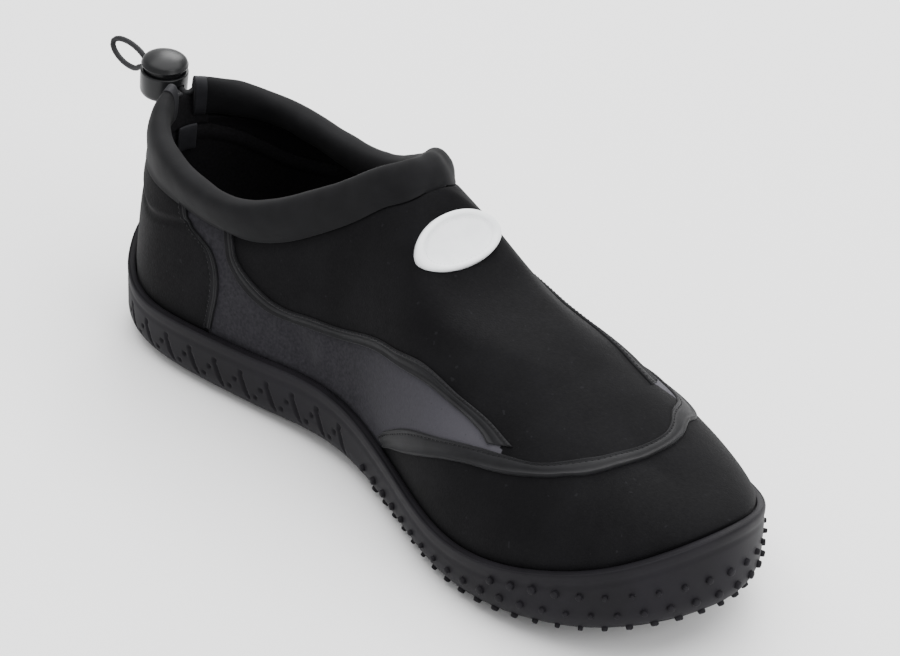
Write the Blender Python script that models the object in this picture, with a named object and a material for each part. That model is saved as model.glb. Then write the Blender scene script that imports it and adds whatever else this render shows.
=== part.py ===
"""Slip-on water shoe for the left foot, heel at the back of X, toe towards +X, outer side towards +Y.

A cup sole of rubber holds a stretch upper with tapes over its seams, a badge on the vamp and a padded
collar. A drawcord leaves the two ends of the collar and runs through a push-button lock at the heel.
"""

import math

import bmesh
import bpy
import numpy as np
from mathutils import Matrix, Vector
from mathutils.bvhtree import BVHTree

# Driving sizes, in metres
LENGTH = 0.282
BALL_WIDTH = 0.109
INSTEP_HEIGHT = 0.105
COLLAR_LINE = 0.070
RIM_HEIGHT = 0.029
TOE_SPRING = 0.0144
HEEL_LIFT = 0.004
ARCH_LIFT = 0.0015
RIM_WALL = 0.0028
CUP_FLOOR = 0.0078
UPPER_WALL = 0.0030
INSOLE_THICKNESS = 0.0030
INSOLE_GAP = 0.0010
INSOLE_EDGE = 0.0010
FIT_GAP = 0.0003
SPINE_START = 0.130
SPINE_RUN = 0.750
THROAT = 0.493
FLAT_SOFTNESS = 0.6

# Collar, tapes and badge
COLLAR_HEIGHT = 0.0195
COLLAR_THICKNESS = 0.0080
COLLAR_END_GAP = 0.0150
COLLAR_UPRIGHT = 0.25
COLLAR_LIFT = 0.0008
TAPE_LIFT = 0.0004
TAPE_THICKNESS = 0.0008
BADGE_LENGTH = 0.0335
BADGE_WIDTH = 0.0165
BADGE_THICKNESS = 0.0018
BADGE_LIFT = 0.0016
BADGE_RIM = 0.0016
BADGE_PLACE = 0.534
BADGE_Y = -0.0005
LABEL_WIDTH = 0.0110
LABEL_HEIGHT = 0.0090
LABEL_THICKNESS = 0.0014
LABEL_LIFT = 0.0010
LABEL_EDGE = 0.0010

# Tread and side studs
TREAD_DEPTH = 0.0018
TREAD_CHEVRON = 0.0080
TREAD_DRAFT = 0.0005
EDGE_RIB = 0.0050
EDGE_ROUND = 0.0090
STUD_PITCH = 0.0077
STUD_ROWS = (0.0008, 0.0067, 0.0130)
STUD_BAND = 0.0034
STUD_SIZE = 0.0020
STUD_HEIGHT = 0.0010
TOP_STUD_ZONE = 0.80
SLOT_ZONE = 0.50
SLOT_PITCH = 0.0115
SLOT_WIDTH = 0.0020
SLOT_DEPTH = 0.0009
SLOT_LEAN = 0.0022

# Cord lock and drawcord
LOCK_RADIUS = 0.0083
LOCK_HEIGHT = 0.0095
LOCK_WALL = 0.0012
LOCK_FLOOR = 0.0010
LOCK_LEAN = math.radians(6)
LOCK_BACK = -0.0030
LOCK_BASE = 0.0700
BUTTON_RADIUS = 0.0081
BUTTON_EDGE = 0.0008
BUTTON_CROWN = 0.0034
BUTTON_TRAVEL = 0.0015
CORD_DIAMETER = 0.0020
CORD_CLEARANCE = 0.0004
CORD_SPACING = 0.0028
CORD_HEIGHT = 0.0053
CORD_EXIT_SHARE = 0.62
CORD_END_GAP = 0.0006
CORD_LEAD = 0.0030
LOOP_REACH = 0.0215
LOOP_SPREAD = 0.0036

# One row for each section, from heel to toe. x, half widths and middle line are shares of LENGTH and
# BALL_WIDTH; the rim columns are shares of RIM_HEIGHT above the ground line.
SECTION_COLUMNS = ("name", "x", "medial", "lateral", "middle", "rim_medial", "rim_lateral")
SECTIONS = [
    ("heel_back", 0.000, 0.000, 0.000, 0.000, 1.00, 1.00),
    ("heel_curve", 0.032, 0.210, 0.215, 0.000, 0.90, 0.90),
    ("heel", 0.108, 0.345, 0.345, 0.000, 0.73, 0.73),
    ("heel_front", 0.210, 0.365, 0.370, 0.000, 0.73, 0.69),
    ("waist_rear", 0.330, 0.325, 0.380, 0.000, 0.76, 0.62),
    ("waist", 0.450, 0.300, 0.400, 0.000, 0.76, 0.59),
    ("waist_front", 0.565, 0.350, 0.440, 0.000, 0.66, 0.55),
    ("ball_out", 0.680, 0.440, 0.475, -0.005, 0.59, 0.55),
    ("ball_in", 0.790, 0.465, 0.450, -0.015, 0.62, 0.59),
    ("toe_root", 0.885, 0.400, 0.360, -0.035, 0.73, 0.69),
    ("toe_curve", 0.960, 0.255, 0.225, -0.060, 0.87, 0.86),
    ("toe_tip", 1.000, 0.000, 0.000, -0.070, 1.00, 1.00),
]

# How full the upper stands over each section: shares of the way from its foot to the middle line.
# swell pushes the wall out above the rim, side is how high it climbs before it turns in, the roof columns
# are how wide the flat of the top is, and tilt is how much of the middle line's slope that flat follows.
FULLNESS_COLUMNS = ("swell", "side", "roof_medial", "roof_lateral", "tilt")
FULLNESS = [
    (0.06, 0.24, 0.12, 0.12, 1.00),
    (0.06, 0.24, 0.14, 0.14, 1.00),
    (0.05, 0.24, 0.22, 0.22, 1.00),
    (0.04, 0.24, 0.36, 0.36, 1.00),
    (0.04, 0.26, 0.46, 0.46, 1.00),
    (0.03, 0.26, 0.54, 0.50, 1.00),
    (0.03, 0.27, 0.92, 0.52, 1.00),
    (0.02, 0.30, 0.72, 0.54, 1.00),
    (0.02, 0.34, 0.60, 0.57, 0.90),
    (0.02, 0.40, 0.60, 0.60, 0.60),
    (0.02, 0.46, 0.62, 0.62, 0.25),
    (0.02, 0.50, 0.64, 0.64, 0.10),
]

# Height of the middle line of the vamp: share of LENGTH, share of INSTEP_HEIGHT. Behind the throat the
# line is only a guide over the open collar.
RIDGE = [
    (0.00, 1.56),
    (0.10, 1.44),
    (0.25, 1.172),
    (0.40, 0.998),
    (0.50, 0.866),
    (0.60, 0.690),
    (0.70, 0.604),
    (0.80, 0.524),
    (0.88, 0.456),
    (0.95, 0.420),
    (1.00, 0.400),
]

# How much the crest of the vamp is flattened under and in front of the badge: share of LENGTH, share of
# INSTEP_HEIGHT taken off the crest.
FLAT_CREST = [
    (THROAT, 0.000),
    (0.510, 0.034),
    (0.530, 0.060),
    (0.570, 0.062),
    (0.620, 0.042),
    (0.680, 0.016),
    (0.740, 0.000),
]

# The seam under the collar. line is a share of COLLAR_LINE, and climb is the share of the way from there to
# the throat.
COLLAR_SEAM_COLUMNS = ("along", "line", "climb")
COLLAR_SEAM = [
    (0.000, 0.940, 0.00),
    (0.080, 0.910, 0.00),
    (0.160, 0.885, 0.00),
    (0.240, 0.845, 0.00),
    (0.300, 0.845, 0.02),
    (0.340, 0.845, 0.13),
    (0.390, 0.845, 0.37),
    (0.430, 0.845, 0.61),
    (0.465, 0.845, 0.86),
    (0.484, 0.845, 0.95),
    (THROAT, 0.845, 1.00),
]

# Collar roll: share of the way from its end at the heel to the throat, height, thickness.
COLLAR_ROLL = [
    (0.00, 0.76, 0.88),
    (0.15, 0.61, 1.00),
    (0.27, 0.53, 1.10),
    (0.40, 0.59, 1.10),
    (0.55, 0.68, 1.08),
    (0.80, 0.65, 1.10),
    (1.00, 0.59, 1.20),
]

# How far the roll leans outward, along the whole collar from its inner end to its outer one. The inner side
# stands splayed in the photo.
COLLAR_LEAN = [
    (0.00, 0.05),
    (0.10, 0.12),
    (0.16, 0.32),
    (0.23, 0.42),
    (0.30, 0.24),
    (0.40, 0.06),
    (0.50, 0.00),
    (1.00, 0.00),
]

# Tapes over the seams, one row for each place along a tape. along is a section number; across runs from
# -1 at the inner rim over 0 on the middle line to 1 at the outer rim. low and high are the two edges.
TAPE_COLUMNS = ("low_along", "low_across", "high_along", "high_across")
TOE_TAPE = [
    (5.96, -0.98, 5.80, -0.97),
    (6.20, -0.89, 5.96, -0.87),
    (6.77, -0.725, 6.40, -0.70),
    (7.32, -0.615, 6.95, -0.59),
    (8.20, -0.505, 7.67, -0.49),
    (8.78, -0.41, 8.36, -0.417),
    (9.25, -0.27, 8.95, -0.28),
    (9.82, -0.12, 9.45, -0.12),
    (10.12, 0.02, 9.76, 0.01),
    (9.90, 0.14, 9.60, 0.12),
    (9.42, 0.28, 9.20, 0.25),
    (9.02, 0.42, 8.74, 0.38),
    (8.45, 0.52, 8.12, 0.47),
    (7.50, 0.61, 7.20, 0.57),
    (6.80, 0.70, 6.50, 0.67),
    (6.20, 0.86, 5.94, 0.84),
    (5.94, 0.98, 5.78, 0.97),
]
INNER_SIDE_TAPE = [
    (3.34, -0.695, 3.46, -0.685),
    (3.46, -0.74, 3.56, -0.72),
    (3.72, -0.79, 3.80, -0.755),
    (4.12, -0.825, 4.16, -0.785),
    (4.50, -0.808, 4.50, -0.768),
    (5.09, -0.747, 5.06, -0.712),
    (5.86, -0.591, 5.83, -0.548),
    (6.46, -0.480, 6.39, -0.425),
    (7.00, -0.456, 7.02, -0.409),
    (7.39, -0.462, 7.52, -0.407),
    (7.57, -0.482, 7.93, -0.425),
]
OUTER_SIDE_TAPE = [
    (3.78, 0.650, 3.90, 0.640),
    (4.00, 0.675, 4.12, 0.650),
    (4.46, 0.690, 4.45, 0.655),
    (4.90, 0.660, 4.86, 0.625),
    (5.34, 0.612, 5.26, 0.574),
    (6.08, 0.505, 6.05, 0.458),
    (6.60, 0.438, 6.62, 0.386),
    (7.14, 0.408, 7.22, 0.352),
    (7.52, 0.420, 7.66, 0.358),
    (7.78, 0.465, 8.02, 0.412),
]
INNER_HEEL_TAPE = [
    (2.62, -0.715, 2.76, -0.715),
    (2.92, -0.725, 3.02, -0.718),
    (3.12, -0.745, 3.22, -0.738),
    (3.26, -0.790, 3.36, -0.785),
    (3.31, -0.850, 3.41, -0.850),
    (3.30, -0.925, 3.39, -0.925),
    (3.27, -0.985, 3.36, -0.985),
]
OUTER_HEEL_TAPE = [
    (3.22, 0.660, 3.36, 0.655),
    (3.50, 0.665, 3.62, 0.660),
    (3.68, 0.690, 3.79, 0.685),
    (3.70, 0.740, 3.81, 0.740),
    (3.58, 0.810, 3.69, 0.815),
    (3.38, 0.890, 3.48, 0.895),
    (3.16, 0.980, 3.26, 0.985),
]

# The cord's free loop behind the lock: share of its reach, side, share of its spread.
CORD_LOOP = [
    (0.30, -1.0, -0.70),
    (0.60, -0.8, -0.98),
    (0.88, -0.4, -0.70),
    (1.00, 0.0, 0.00),
    (0.88, 0.4, 0.70),
    (0.60, 0.8, 0.98),
    (0.30, 1.0, 0.70),
]

# Grid counts
UPPER_REAR_COLUMNS = 20
UPPER_FRONT_COLUMNS = 16
UPPER_ROWS = 8
COLLAR_STATIONS = 42
COLLAR_SIDES = 8
SMOOTHING_STEPS = 4
COLLAR_SMOOTHING = 10
TAPE_STEPS = 2
ROUND_SIDES = 22
CORD_POINTS = 36
INSOLE_COLUMNS = 56

LAST_ROW = len(SECTIONS) - 1
LOOP_ROWS = 2 * LAST_ROW


def column(rows, columns, name):
    """One named column of a table."""
    return [row[columns.index(name)] for row in rows]


def closed_curve(values):
    """Smooth closed curve through evenly numbered values, as a function of the row number."""
    points = np.array(values, float)
    count = len(points)
    ring = 4 * np.eye(count) + np.roll(np.eye(count), 1, 0) + np.roll(np.eye(count), -1, 0)
    slopes = np.linalg.solve(ring, 3 * (np.roll(points, -1) - np.roll(points, 1)))

    def value(row):
        row = np.asarray(row, float) % count
        start = np.floor(row).astype(int) % count
        end = (start + 1) % count
        t = row - np.floor(row)
        return (
            points[start] * (1 + 2 * t) * (1 - t) ** 2
            + slopes[start] * t * (1 - t) ** 2
            + points[end] * t * t * (3 - 2 * t)
            - slopes[end] * t * t * (1 - t)
        )

    return value


def open_curve(places, values):
    """Smooth curve through values at increasing places, held level past both ends."""
    places = np.array(places, float)
    values = np.array(values, float)
    slopes = np.gradient(values, places)

    def value(place):
        place = np.clip(place, places[0], places[-1])
        start = np.clip(np.searchsorted(places, place, side="right") - 1, 0, len(places) - 2)
        width = places[start + 1] - places[start]
        t = (place - places[start]) / width
        return (
            values[start] * (1 + 2 * t) * (1 - t) ** 2
            + slopes[start] * width * t * (1 - t) ** 2
            + values[start + 1] * t * t * (3 - 2 * t)
            - slopes[start + 1] * width * t * t * (1 - t)
        )

    return value


def around(medial, lateral):
    """Closed curve that runs up the medial column from heel to toe and back down the lateral one."""
    return closed_curve(list(medial) + list(lateral[-2:0:-1]))


def section_loop(medial, lateral, size):
    inner = np.array(column(SECTIONS, SECTION_COLUMNS, medial)) * size
    outer = np.array(column(SECTIONS, SECTION_COLUMNS, lateral)) * size
    return around(inner, outer)


def fullness_loop(medial, lateral):
    inner = column(FULLNESS, FULLNESS_COLUMNS, medial)
    outer = column(FULLNESS, FULLNESS_COLUMNS, lateral)
    return around(inner, outer)


middles = np.array(column(SECTIONS, SECTION_COLUMNS, "middle")) * BALL_WIDTH
medials = np.array(column(SECTIONS, SECTION_COLUMNS, "medial")) * BALL_WIDTH
laterals = np.array(column(SECTIONS, SECTION_COLUMNS, "lateral")) * BALL_WIDTH
outline_x = section_loop("x", "x", LENGTH)
outline_y = around(middles - medials, middles + laterals)
middle_y = around(middles, middles)
rim_rise = section_loop("rim_medial", "rim_lateral", RIM_HEIGHT)
swell_at = fullness_loop("swell", "swell")
side_at = fullness_loop("side", "side")
roof_at = fullness_loop("roof_medial", "roof_lateral")
tilt_at = fullness_loop("tilt", "tilt")
ridge = open_curve([share * LENGTH for share, _ in RIDGE], [share * INSTEP_HEIGHT for _, share in RIDGE])
flat_crest = open_curve(
    [share * LENGTH for share, _ in FLAT_CREST], [share * INSTEP_HEIGHT for _, share in FLAT_CREST]
)
seam_lines = np.array(column(COLLAR_SEAM, COLLAR_SEAM_COLUMNS, "line")) * COLLAR_LINE
seam_climbs = np.array(column(COLLAR_SEAM, COLLAR_SEAM_COLUMNS, "climb"))
collar_seam = open_curve(
    np.array(column(COLLAR_SEAM, COLLAR_SEAM_COLUMNS, "along")) * LENGTH,
    seam_lines + (float(ridge(THROAT * LENGTH)) - seam_lines) * seam_climbs,
)


def ground(x):
    """Height of the sole's lowest line: rounded heel, slight arch and toe spring."""
    share = np.asarray(x, float) / LENGTH
    toe = np.clip((share - 0.70) / 0.30, 0, 1) ** 1.8
    heel = np.clip((0.06 - share) / 0.06, 0, 1) ** 2
    arch = np.clip(1 - ((share - 0.44) / 0.13) ** 2, 0, 1) ** 2
    return TOE_SPRING * toe + HEEL_LIFT * heel + ARCH_LIFT * arch


def floor_height(x):
    """Height of the cup's floor, which follows the toe spring alone."""
    share = np.asarray(x, float) / LENGTH
    return CUP_FLOOR + TOE_SPRING * np.clip((share - 0.70) / 0.30, 0, 1) ** 1.8


def plan_point(u, inset):
    """Point of the sole's outline, moved inward by inset."""
    step = 1e-3
    dx = outline_x(u + step) - outline_x(u - step)
    dy = outline_y(u + step) - outline_y(u - step)
    run = np.hypot(dx, dy)
    return outline_x(u) - inset * dy / run, outline_y(u) + inset * dx / run


def rim_height(u):
    x, _ = plan_point(u, 0.0)
    return ground(x) + rim_rise(u)


def upper_point(u, v):
    """Outer face of the upper: v is 0 at the rim of the sole and 1 on the middle line of the vamp."""
    u = np.asarray(u, float)
    v = np.asarray(v, float)
    foot_x, foot_y = plan_point(u, RIM_WALL + FIT_GAP)
    foot_z = rim_height(u) + FIT_GAP
    top_x = SPINE_START * LENGTH + SPINE_RUN * outline_x(u)
    top_y = middle_y(u)
    out = (1 - v) ** 3 + 3 * (1 - v) ** 2 * v * (1 + swell_at(u)) + 3 * (1 - v) * v**2 * roof_at(u)
    up = 3 * (1 - v) ** 2 * v * side_at(u) + 3 * (1 - v) * v**2 + v**3
    x = top_x + (foot_x - top_x) * out
    y = top_y + (foot_y - top_y) * out
    step = 1e-4
    slope = (ridge(top_x + step) - ridge(top_x - step)) / (2 * step)
    follow = 1 - (1 - tilt_at(u)) * (1 - (1 - out) ** 3)
    roof_z = ridge(top_x) + follow * slope * (x - top_x)
    return np.stack([x, y, flattened(x, foot_z + (roof_z - foot_z) * up)], -1)


def flattened(x, z):
    """Heights with the crest of the vamp flattened: level above a cap, rounded below it."""
    drop = flat_crest(x)
    cap = ridge(x) - drop
    soft = np.maximum(FLAT_SOFTNESS * drop, 1e-6)
    rounded = z - (z - cap + soft) ** 2 / (4 * soft)
    level = np.where(z > cap + soft, cap, np.where(z > cap - soft, rounded, z))
    return np.maximum(level, z - drop)


def throat_row():
    """Section number at which the collar's opening ends on the middle line."""
    rows = np.linspace(0, LAST_ROW, 2001)
    spine = SPINE_START * LENGTH + SPINE_RUN * outline_x(rows)
    return float(np.interp(THROAT * LENGTH, spine, rows))


def top_share(u):
    """Share v at which each column of the upper ends: the collar seam, or the middle line."""
    u = np.asarray(u, float)
    row = np.where(u > LAST_ROW, LOOP_ROWS - u, u)
    low = np.zeros_like(u)
    high = np.ones_like(u)
    for _ in range(40):
        middle = (low + high) / 2
        point = upper_point(u, middle)
        below = point[..., 2] < collar_seam(point[..., 0])
        low = np.where(below, middle, low)
        high = np.where(below, high, middle)
    return np.where(row >= throat_row(), 1.0, low)


def material(name, color, roughness, metallic=0.0):
    made = bpy.data.materials.new(name)
    made.use_nodes = True
    shader = made.node_tree.nodes["Principled BSDF"]
    shader.inputs["Base Color"].default_value = (*color, 1.0)
    shader.inputs["Roughness"].default_value = roughness
    shader.inputs["Metallic"].default_value = metallic
    return made


def add_object(name, shape, surface, smooth=35):
    """Turn a bmesh into a named object on the shoe's own frame."""
    mesh = bpy.data.meshes.new(name)
    shape.to_mesh(mesh)
    shape.free()
    mesh.materials.append(surface)
    mesh.shade_smooth()
    mesh.set_sharp_from_angle(angle=math.radians(smooth))
    made = bpy.data.objects.new(name, mesh)
    bpy.context.scene.collection.objects.link(made)
    made.parent = shoe_frame
    return made


def sheet(grid, closed=False):
    """Quads between the rows of a grid of points; closed joins the last column to the first."""
    shape = bmesh.new()
    rows = [[shape.verts.new(point) for point in row] for row in grid]
    count = len(rows[0])
    for below, above in zip(rows, rows[1:]):
        for i in range(count if closed else count - 1):
            j = (i + 1) % count
            shape.faces.new((below[i], below[j], above[j], above[i]))
    return shape, rows


def close_ends(shape, rows):
    """Cap the first and last ring of a closed grid and turn all faces outward."""
    shape.faces.new(reversed(rows[0]))
    shape.faces.new(rows[-1])
    bmesh.ops.recalc_face_normals(shape, faces=shape.faces)


def sweep(name, rings, surface, smooth=35):
    """Solid through a run of rings that each have the same number of points."""
    shape, rows = sheet(rings, closed=True)
    close_ends(shape, rows)
    return add_object(name, shape, surface, smooth)


def cross_fill(shape, ring, height, strips=1, chevron=0.0):
    """Fill a closed ring with strips across, from each inner point to its outer partner."""
    count = len(ring)
    half = count // 2
    lines = [[ring[0]] * (strips + 1)]
    for i in range(1, half):
        start, end = ring[i].co, ring[count - i].co
        wide = (end - start).length / BALL_WIDTH
        line = [ring[i]]
        for k in range(1, strips):
            point = start.lerp(end, k / strips)
            point.x += chevron * wide**2 * (1 - abs(2 * k / strips - 1))
            point.z = height(point.x)
            line.append(shape.verts.new(point))
        lines.append([*line, ring[count - i]])
    lines.append([ring[half]] * (strips + 1))
    filled = []
    for back, front in zip(lines, lines[1:]):
        faces = []
        for k in range(strips):
            corners = list(dict.fromkeys((back[k], front[k], front[k + 1], back[k + 1])))
            if len(corners) > 2:
                faces.append(shape.faces.new(corners))
        filled.append(faces)
    return filled


def sole_columns():
    """Loop places for the sole's walls: about half a stud pitch apart in front, a slot pitch behind."""
    fine = np.linspace(0, LAST_ROW, 1201)
    places = []
    for offset, sign in ((0, 1), (LOOP_ROWS, -1)):
        x, y = plan_point(offset + sign * fine, 0.0)
        weight = np.where(x < SLOT_ZONE * LENGTH, STUD_PITCH / SLOT_PITCH, 1.0)
        steps = np.hypot(np.diff(x), np.diff(y)) * (weight[1:] + weight[:-1]) / 2
        run = np.concatenate([[0], np.cumsum(steps)])
        count = 2 * round(run[-1] / STUD_PITCH)
        places.append(np.interp(np.linspace(0, run[-1], count + 1), run, fine))
    inner, outer = places
    return np.concatenate([inner, (LOOP_ROWS - outer)[::-1][1:-1]])


def wall_levels(rise):
    """Heights of the wall's rings over the ground line: edge, three bands of studs between plain ones."""
    levels = [np.full_like(rise, STUD_ROWS[0]), np.full_like(rise, STUD_ROWS[0] + STUD_BAND)]
    for low, share in ((STUD_ROWS[1], 0.38), (STUD_ROWS[2], 0.68)):
        start = np.minimum(low, share * rise)
        levels += [start, start + np.minimum(STUD_BAND, 0.19 * rise)]
    return [*levels, rise]


def wall_inset(height):
    """How far the wall stands in from the rim's outline: a round lower edge under an upright side."""
    turn = np.clip(1 - height / EDGE_ROUND, 0, 1)
    return EDGE_ROUND * (1 - np.sqrt(1 - turn**2))


def ground_ring(u, inset, lift):
    x, y = plan_point(u, inset)
    return np.stack([x, y, ground(x) + lift], -1)


def sole_shape():
    """Cup sole: tread, round edge, side wall with studs and slots, rim, inner wall and floor."""
    u = sole_columns()
    x, _ = plan_point(u, 0.0)
    rise = rim_rise(u)
    rear = x < SLOT_ZONE * LENGTH
    foot = EDGE_ROUND * 0.9
    rings = [
        ground_ring(u, foot + EDGE_RIB + TREAD_DRAFT, TREAD_DEPTH),
        ground_ring(u, foot + EDGE_RIB, 0.0),
        ground_ring(u, foot, 0.0),
    ]
    forward = np.where(u > LAST_ROW, -1, 1)
    for height in wall_levels(rise):
        lean = np.where(rear, SLOT_LEAN * LAST_ROW / LENGTH * np.clip(height / STUD_ROWS[2] - 0.3, 0, 1), 0.0)
        lean = lean * np.sin(np.pi * np.clip(x / (SLOT_ZONE * LENGTH), 0, 1))
        ring_x, ring_y = plan_point(u - lean * forward, wall_inset(height))
        base_x, _ = plan_point(u - lean * forward, 0.0)
        rings.append(np.stack([ring_x, ring_y, ground(base_x) + height], -1))
    ring_x, ring_y = plan_point(u, RIM_WALL)
    rings.append(np.stack([ring_x, ring_y, rim_height(u)], -1))
    rings.append(np.stack([ring_x, ring_y, floor_height(ring_x)], -1))
    shape, rows = sheet(rings, closed=True)
    shape.faces.ensure_lookup_table()
    faces = list(shape.faces)
    bands = [faces[k * len(u) : (k + 1) * len(u)] for k in range(len(rings) - 1)]
    tread = cross_fill(shape, rows[0], lambda at: float(ground(at)) + TREAD_DEPTH, 3, TREAD_CHEVRON)
    cross_fill(shape, rows[-1], floor_height)
    bmesh.ops.recalc_face_normals(shape, faces=shape.faces)
    raise_lugs(shape, tread)
    raise_studs(shape, bands, x)
    sink_slots(shape, bands, x)
    return shape


def raise_lugs(shape, tread):
    """Chevron lugs, two strips long with one strip between them."""
    for start in range(3, len(tread) - 4, 3):
        lug = tread[start] + tread[start + 1]
        bmesh.ops.inset_region(shape, faces=lug, thickness=TREAD_DRAFT, depth=TREAD_DEPTH, use_even_offset=True)


def raise_studs(shape, bands, x):
    """Small blunt studs round the forefoot, each row half a pitch on from the last."""
    for row, band in enumerate((bands[3], bands[5], bands[7])):
        reach = TOP_STUD_ZONE if row == 2 else SLOT_ZONE + 0.02
        studs = [band[i] for i in range(row % 2, len(band), 2) if x[i] > reach * LENGTH]
        size = (STUD_BAND - STUD_SIZE) / 2
        bmesh.ops.inset_individual(shape, faces=studs, thickness=size, depth=STUD_HEIGHT)


def sink_slots(shape, bands, x):
    """Slanted slots between the studs' zone and the heel, two bands high."""
    for i in range(1, len(x), 2):
        if x[i] < SLOT_ZONE * LENGTH:
            slot = [bands[4][i], bands[5][i]]
            edge = bands[4][i].calc_perimeter() / 2 - (STUD_ROWS[1] - STUD_ROWS[0] - STUD_BAND)
            bmesh.ops.inset_region(shape, faces=slot, thickness=(edge - SLOT_WIDTH) / 2, depth=-SLOT_DEPTH)


def insole_shape():
    """Flat pad on the cup's floor, inside the upper's wall."""
    u = np.linspace(0, LOOP_ROWS, INSOLE_COLUMNS + 1)[:-1]
    inset = RIM_WALL + FIT_GAP + UPPER_WALL + INSOLE_GAP
    rings = []
    for share, draw_in in ((0.0, 0.0), (0.7, 0.0), (1.0, INSOLE_EDGE)):
        x, y = plan_point(u, inset + draw_in)
        rings.append(np.stack([x, y, floor_height(x) + FIT_GAP + share * INSOLE_THICKNESS], -1))
    shape, rows = sheet(rings, closed=True)
    cross_fill(shape, rows[0], floor_height)
    cross_fill(shape, rows[-1], floor_height)
    bmesh.ops.recalc_face_normals(shape, faces=shape.faces)
    return shape


def upper_columns():
    """Loop places for the upper's columns, closer together where the collar's opening ends."""
    parts = []
    for start, end, count in (
        (0.0, throat_row(), UPPER_REAR_COLUMNS),
        (throat_row(), float(LAST_ROW), UPPER_FRONT_COLUMNS),
    ):
        fine = np.linspace(start, end, 600)
        foot = upper_point(fine, 0.0)
        edge = upper_point(fine, top_share(np.minimum(fine, end - 1e-6) if start == 0 else fine))
        steps = np.linalg.norm(np.diff(foot, axis=0), axis=1) + np.linalg.norm(np.diff(edge, axis=0), axis=1)
        run = np.concatenate([[0], np.cumsum(steps)])
        parts.append(np.interp(np.linspace(0, run[-1], count), run, fine))
    inner = np.concatenate([parts[0], parts[1][1:]])
    return np.concatenate([inner, (LOOP_ROWS - inner)[::-1][1:-1]])


def upper_shape():
    """Outer face of the upper as one open sheet; its wall is added inward."""
    u = upper_columns()
    top = top_share(u)
    x, y = plan_point(u, RIM_WALL + FIT_GAP)
    rings = [np.stack([x, y, floor_height(x) + FIT_GAP], -1)]
    for share in np.linspace(0, 1, UPPER_ROWS + 1):
        rings.append(upper_point(u, top * share))
    shape, _ = sheet(rings, closed=True)
    bmesh.ops.remove_doubles(shape, verts=shape.verts, dist=1e-5)
    return shape


def upper_normal(u, v):
    step = 1e-3
    forward = upper_point(u + step, v) - upper_point(u - step, v)
    upward = upper_point(u, v + step) - upper_point(u, v - step)
    normal = np.cross(forward, upward)
    return normal / np.linalg.norm(normal, axis=-1, keepdims=True)


def resample(points, values, count):
    """Evenly spaced stations along a polyline, with the values that go with its points."""
    run = np.concatenate([[0], np.cumsum(np.linalg.norm(np.diff(points, axis=0), axis=1))])
    at = np.linspace(0, run[-1], count)
    even = [np.stack([np.interp(at, run, part[:, k]) for k in range(3)], -1) for part in (points, *values)]
    return even


def unit(vectors):
    return vectors / np.linalg.norm(vectors, axis=-1, keepdims=True)


def collar_path():
    """Middle of the upper's top edge from the inner end of the collar to the outer one, with its frame."""
    rear = throat_row() * (1 - (1 - np.linspace(0, 1, 200)) ** 2)
    u = np.concatenate([rear, (LOOP_ROWS - rear)[::-1][1:]])
    v = top_share(u)
    out = upper_normal(u, np.minimum(v, 0.995))
    points = upper_point(u, v) - out * UPPER_WALL / 2
    run = np.concatenate([[0], np.cumsum(np.linalg.norm(np.diff(points, axis=0), axis=1))])
    keep = (run > COLLAR_END_GAP / 2) & (run < run[-1] - COLLAR_END_GAP / 2)
    points, out = resample(points[keep], [out[keep]], COLLAR_STATIONS * SMOOTHING_STEPS)
    for _ in range(COLLAR_SMOOTHING):
        points[1:-1] = (points[:-2] + 2 * points[1:-1] + points[2:]) / 4
        out[1:-1] = unit(out[:-2] + 2 * out[1:-1] + out[2:])
    points, out = resample(points, [out], COLLAR_STATIONS)
    along = unit(np.gradient(points, axis=0))
    up = unit(np.cross(out, along))
    up = unit(up + np.array([0, 0, COLLAR_UPRIGHT]))
    out = unit(np.cross(along, up))
    lean = open_curve([row[0] for row in COLLAR_LEAN], [row[1] for row in COLLAR_LEAN])
    up = unit(up + out * lean(np.linspace(0, 1, COLLAR_STATIONS))[:, None])
    out = unit(np.cross(along, up))
    return points, along, up, out


def collar_sizes():
    """Height and thickness of the roll at each station."""
    half = 1 - np.abs(np.linspace(-1, 1, COLLAR_STATIONS))
    places = [row[0] for row in COLLAR_ROLL]
    height = open_curve(places, [row[1] for row in COLLAR_ROLL])(half) * COLLAR_HEIGHT
    thick = open_curve(places, [row[2] for row in COLLAR_ROLL])(half) * COLLAR_THICKNESS
    return height, thick


def collar_rings():
    points, along, up, out = collar_path()
    height, thick = collar_sizes()
    angle = np.linspace(0, 2 * math.pi, COLLAR_SIDES + 1)[:-1]
    wide = np.sign(np.cos(angle)) * np.abs(np.cos(angle)) ** 0.8
    tall = np.sign(np.sin(angle)) * np.abs(np.sin(angle)) ** 0.8
    centre = points + up * (COLLAR_LIFT + height / 2)[:, None]
    return (
        centre[:, None]
        + out[:, None] * (thick[:, None] / 2 * wide)[..., None]
        + up[:, None] * (height[:, None] / 2 * tall)[..., None]
    )


def band_rings(u_low, v_low, u_high, v_high, lift, thickness):
    """Rings of a flat band laid on the upper between a low and a high edge, with a slight crown."""
    rings = []
    low, high = upper_point(u_low, v_low), upper_point(u_high, v_high)
    low_out, high_out = upper_normal(u_low, v_low), upper_normal(u_high, v_high)
    middle_out = unit(low_out + high_out)
    for k in range(len(u_low)):
        top = [
            low[k] + low_out[k] * (lift + thickness * 0.6),
            (low[k] + high[k]) / 2 + middle_out[k] * (lift + thickness * 1.5),
            high[k] + high_out[k] * (lift + thickness * 0.6),
        ]
        rings.append([low[k] + low_out[k] * lift, *top, high[k] + high_out[k] * lift])
    return rings


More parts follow.
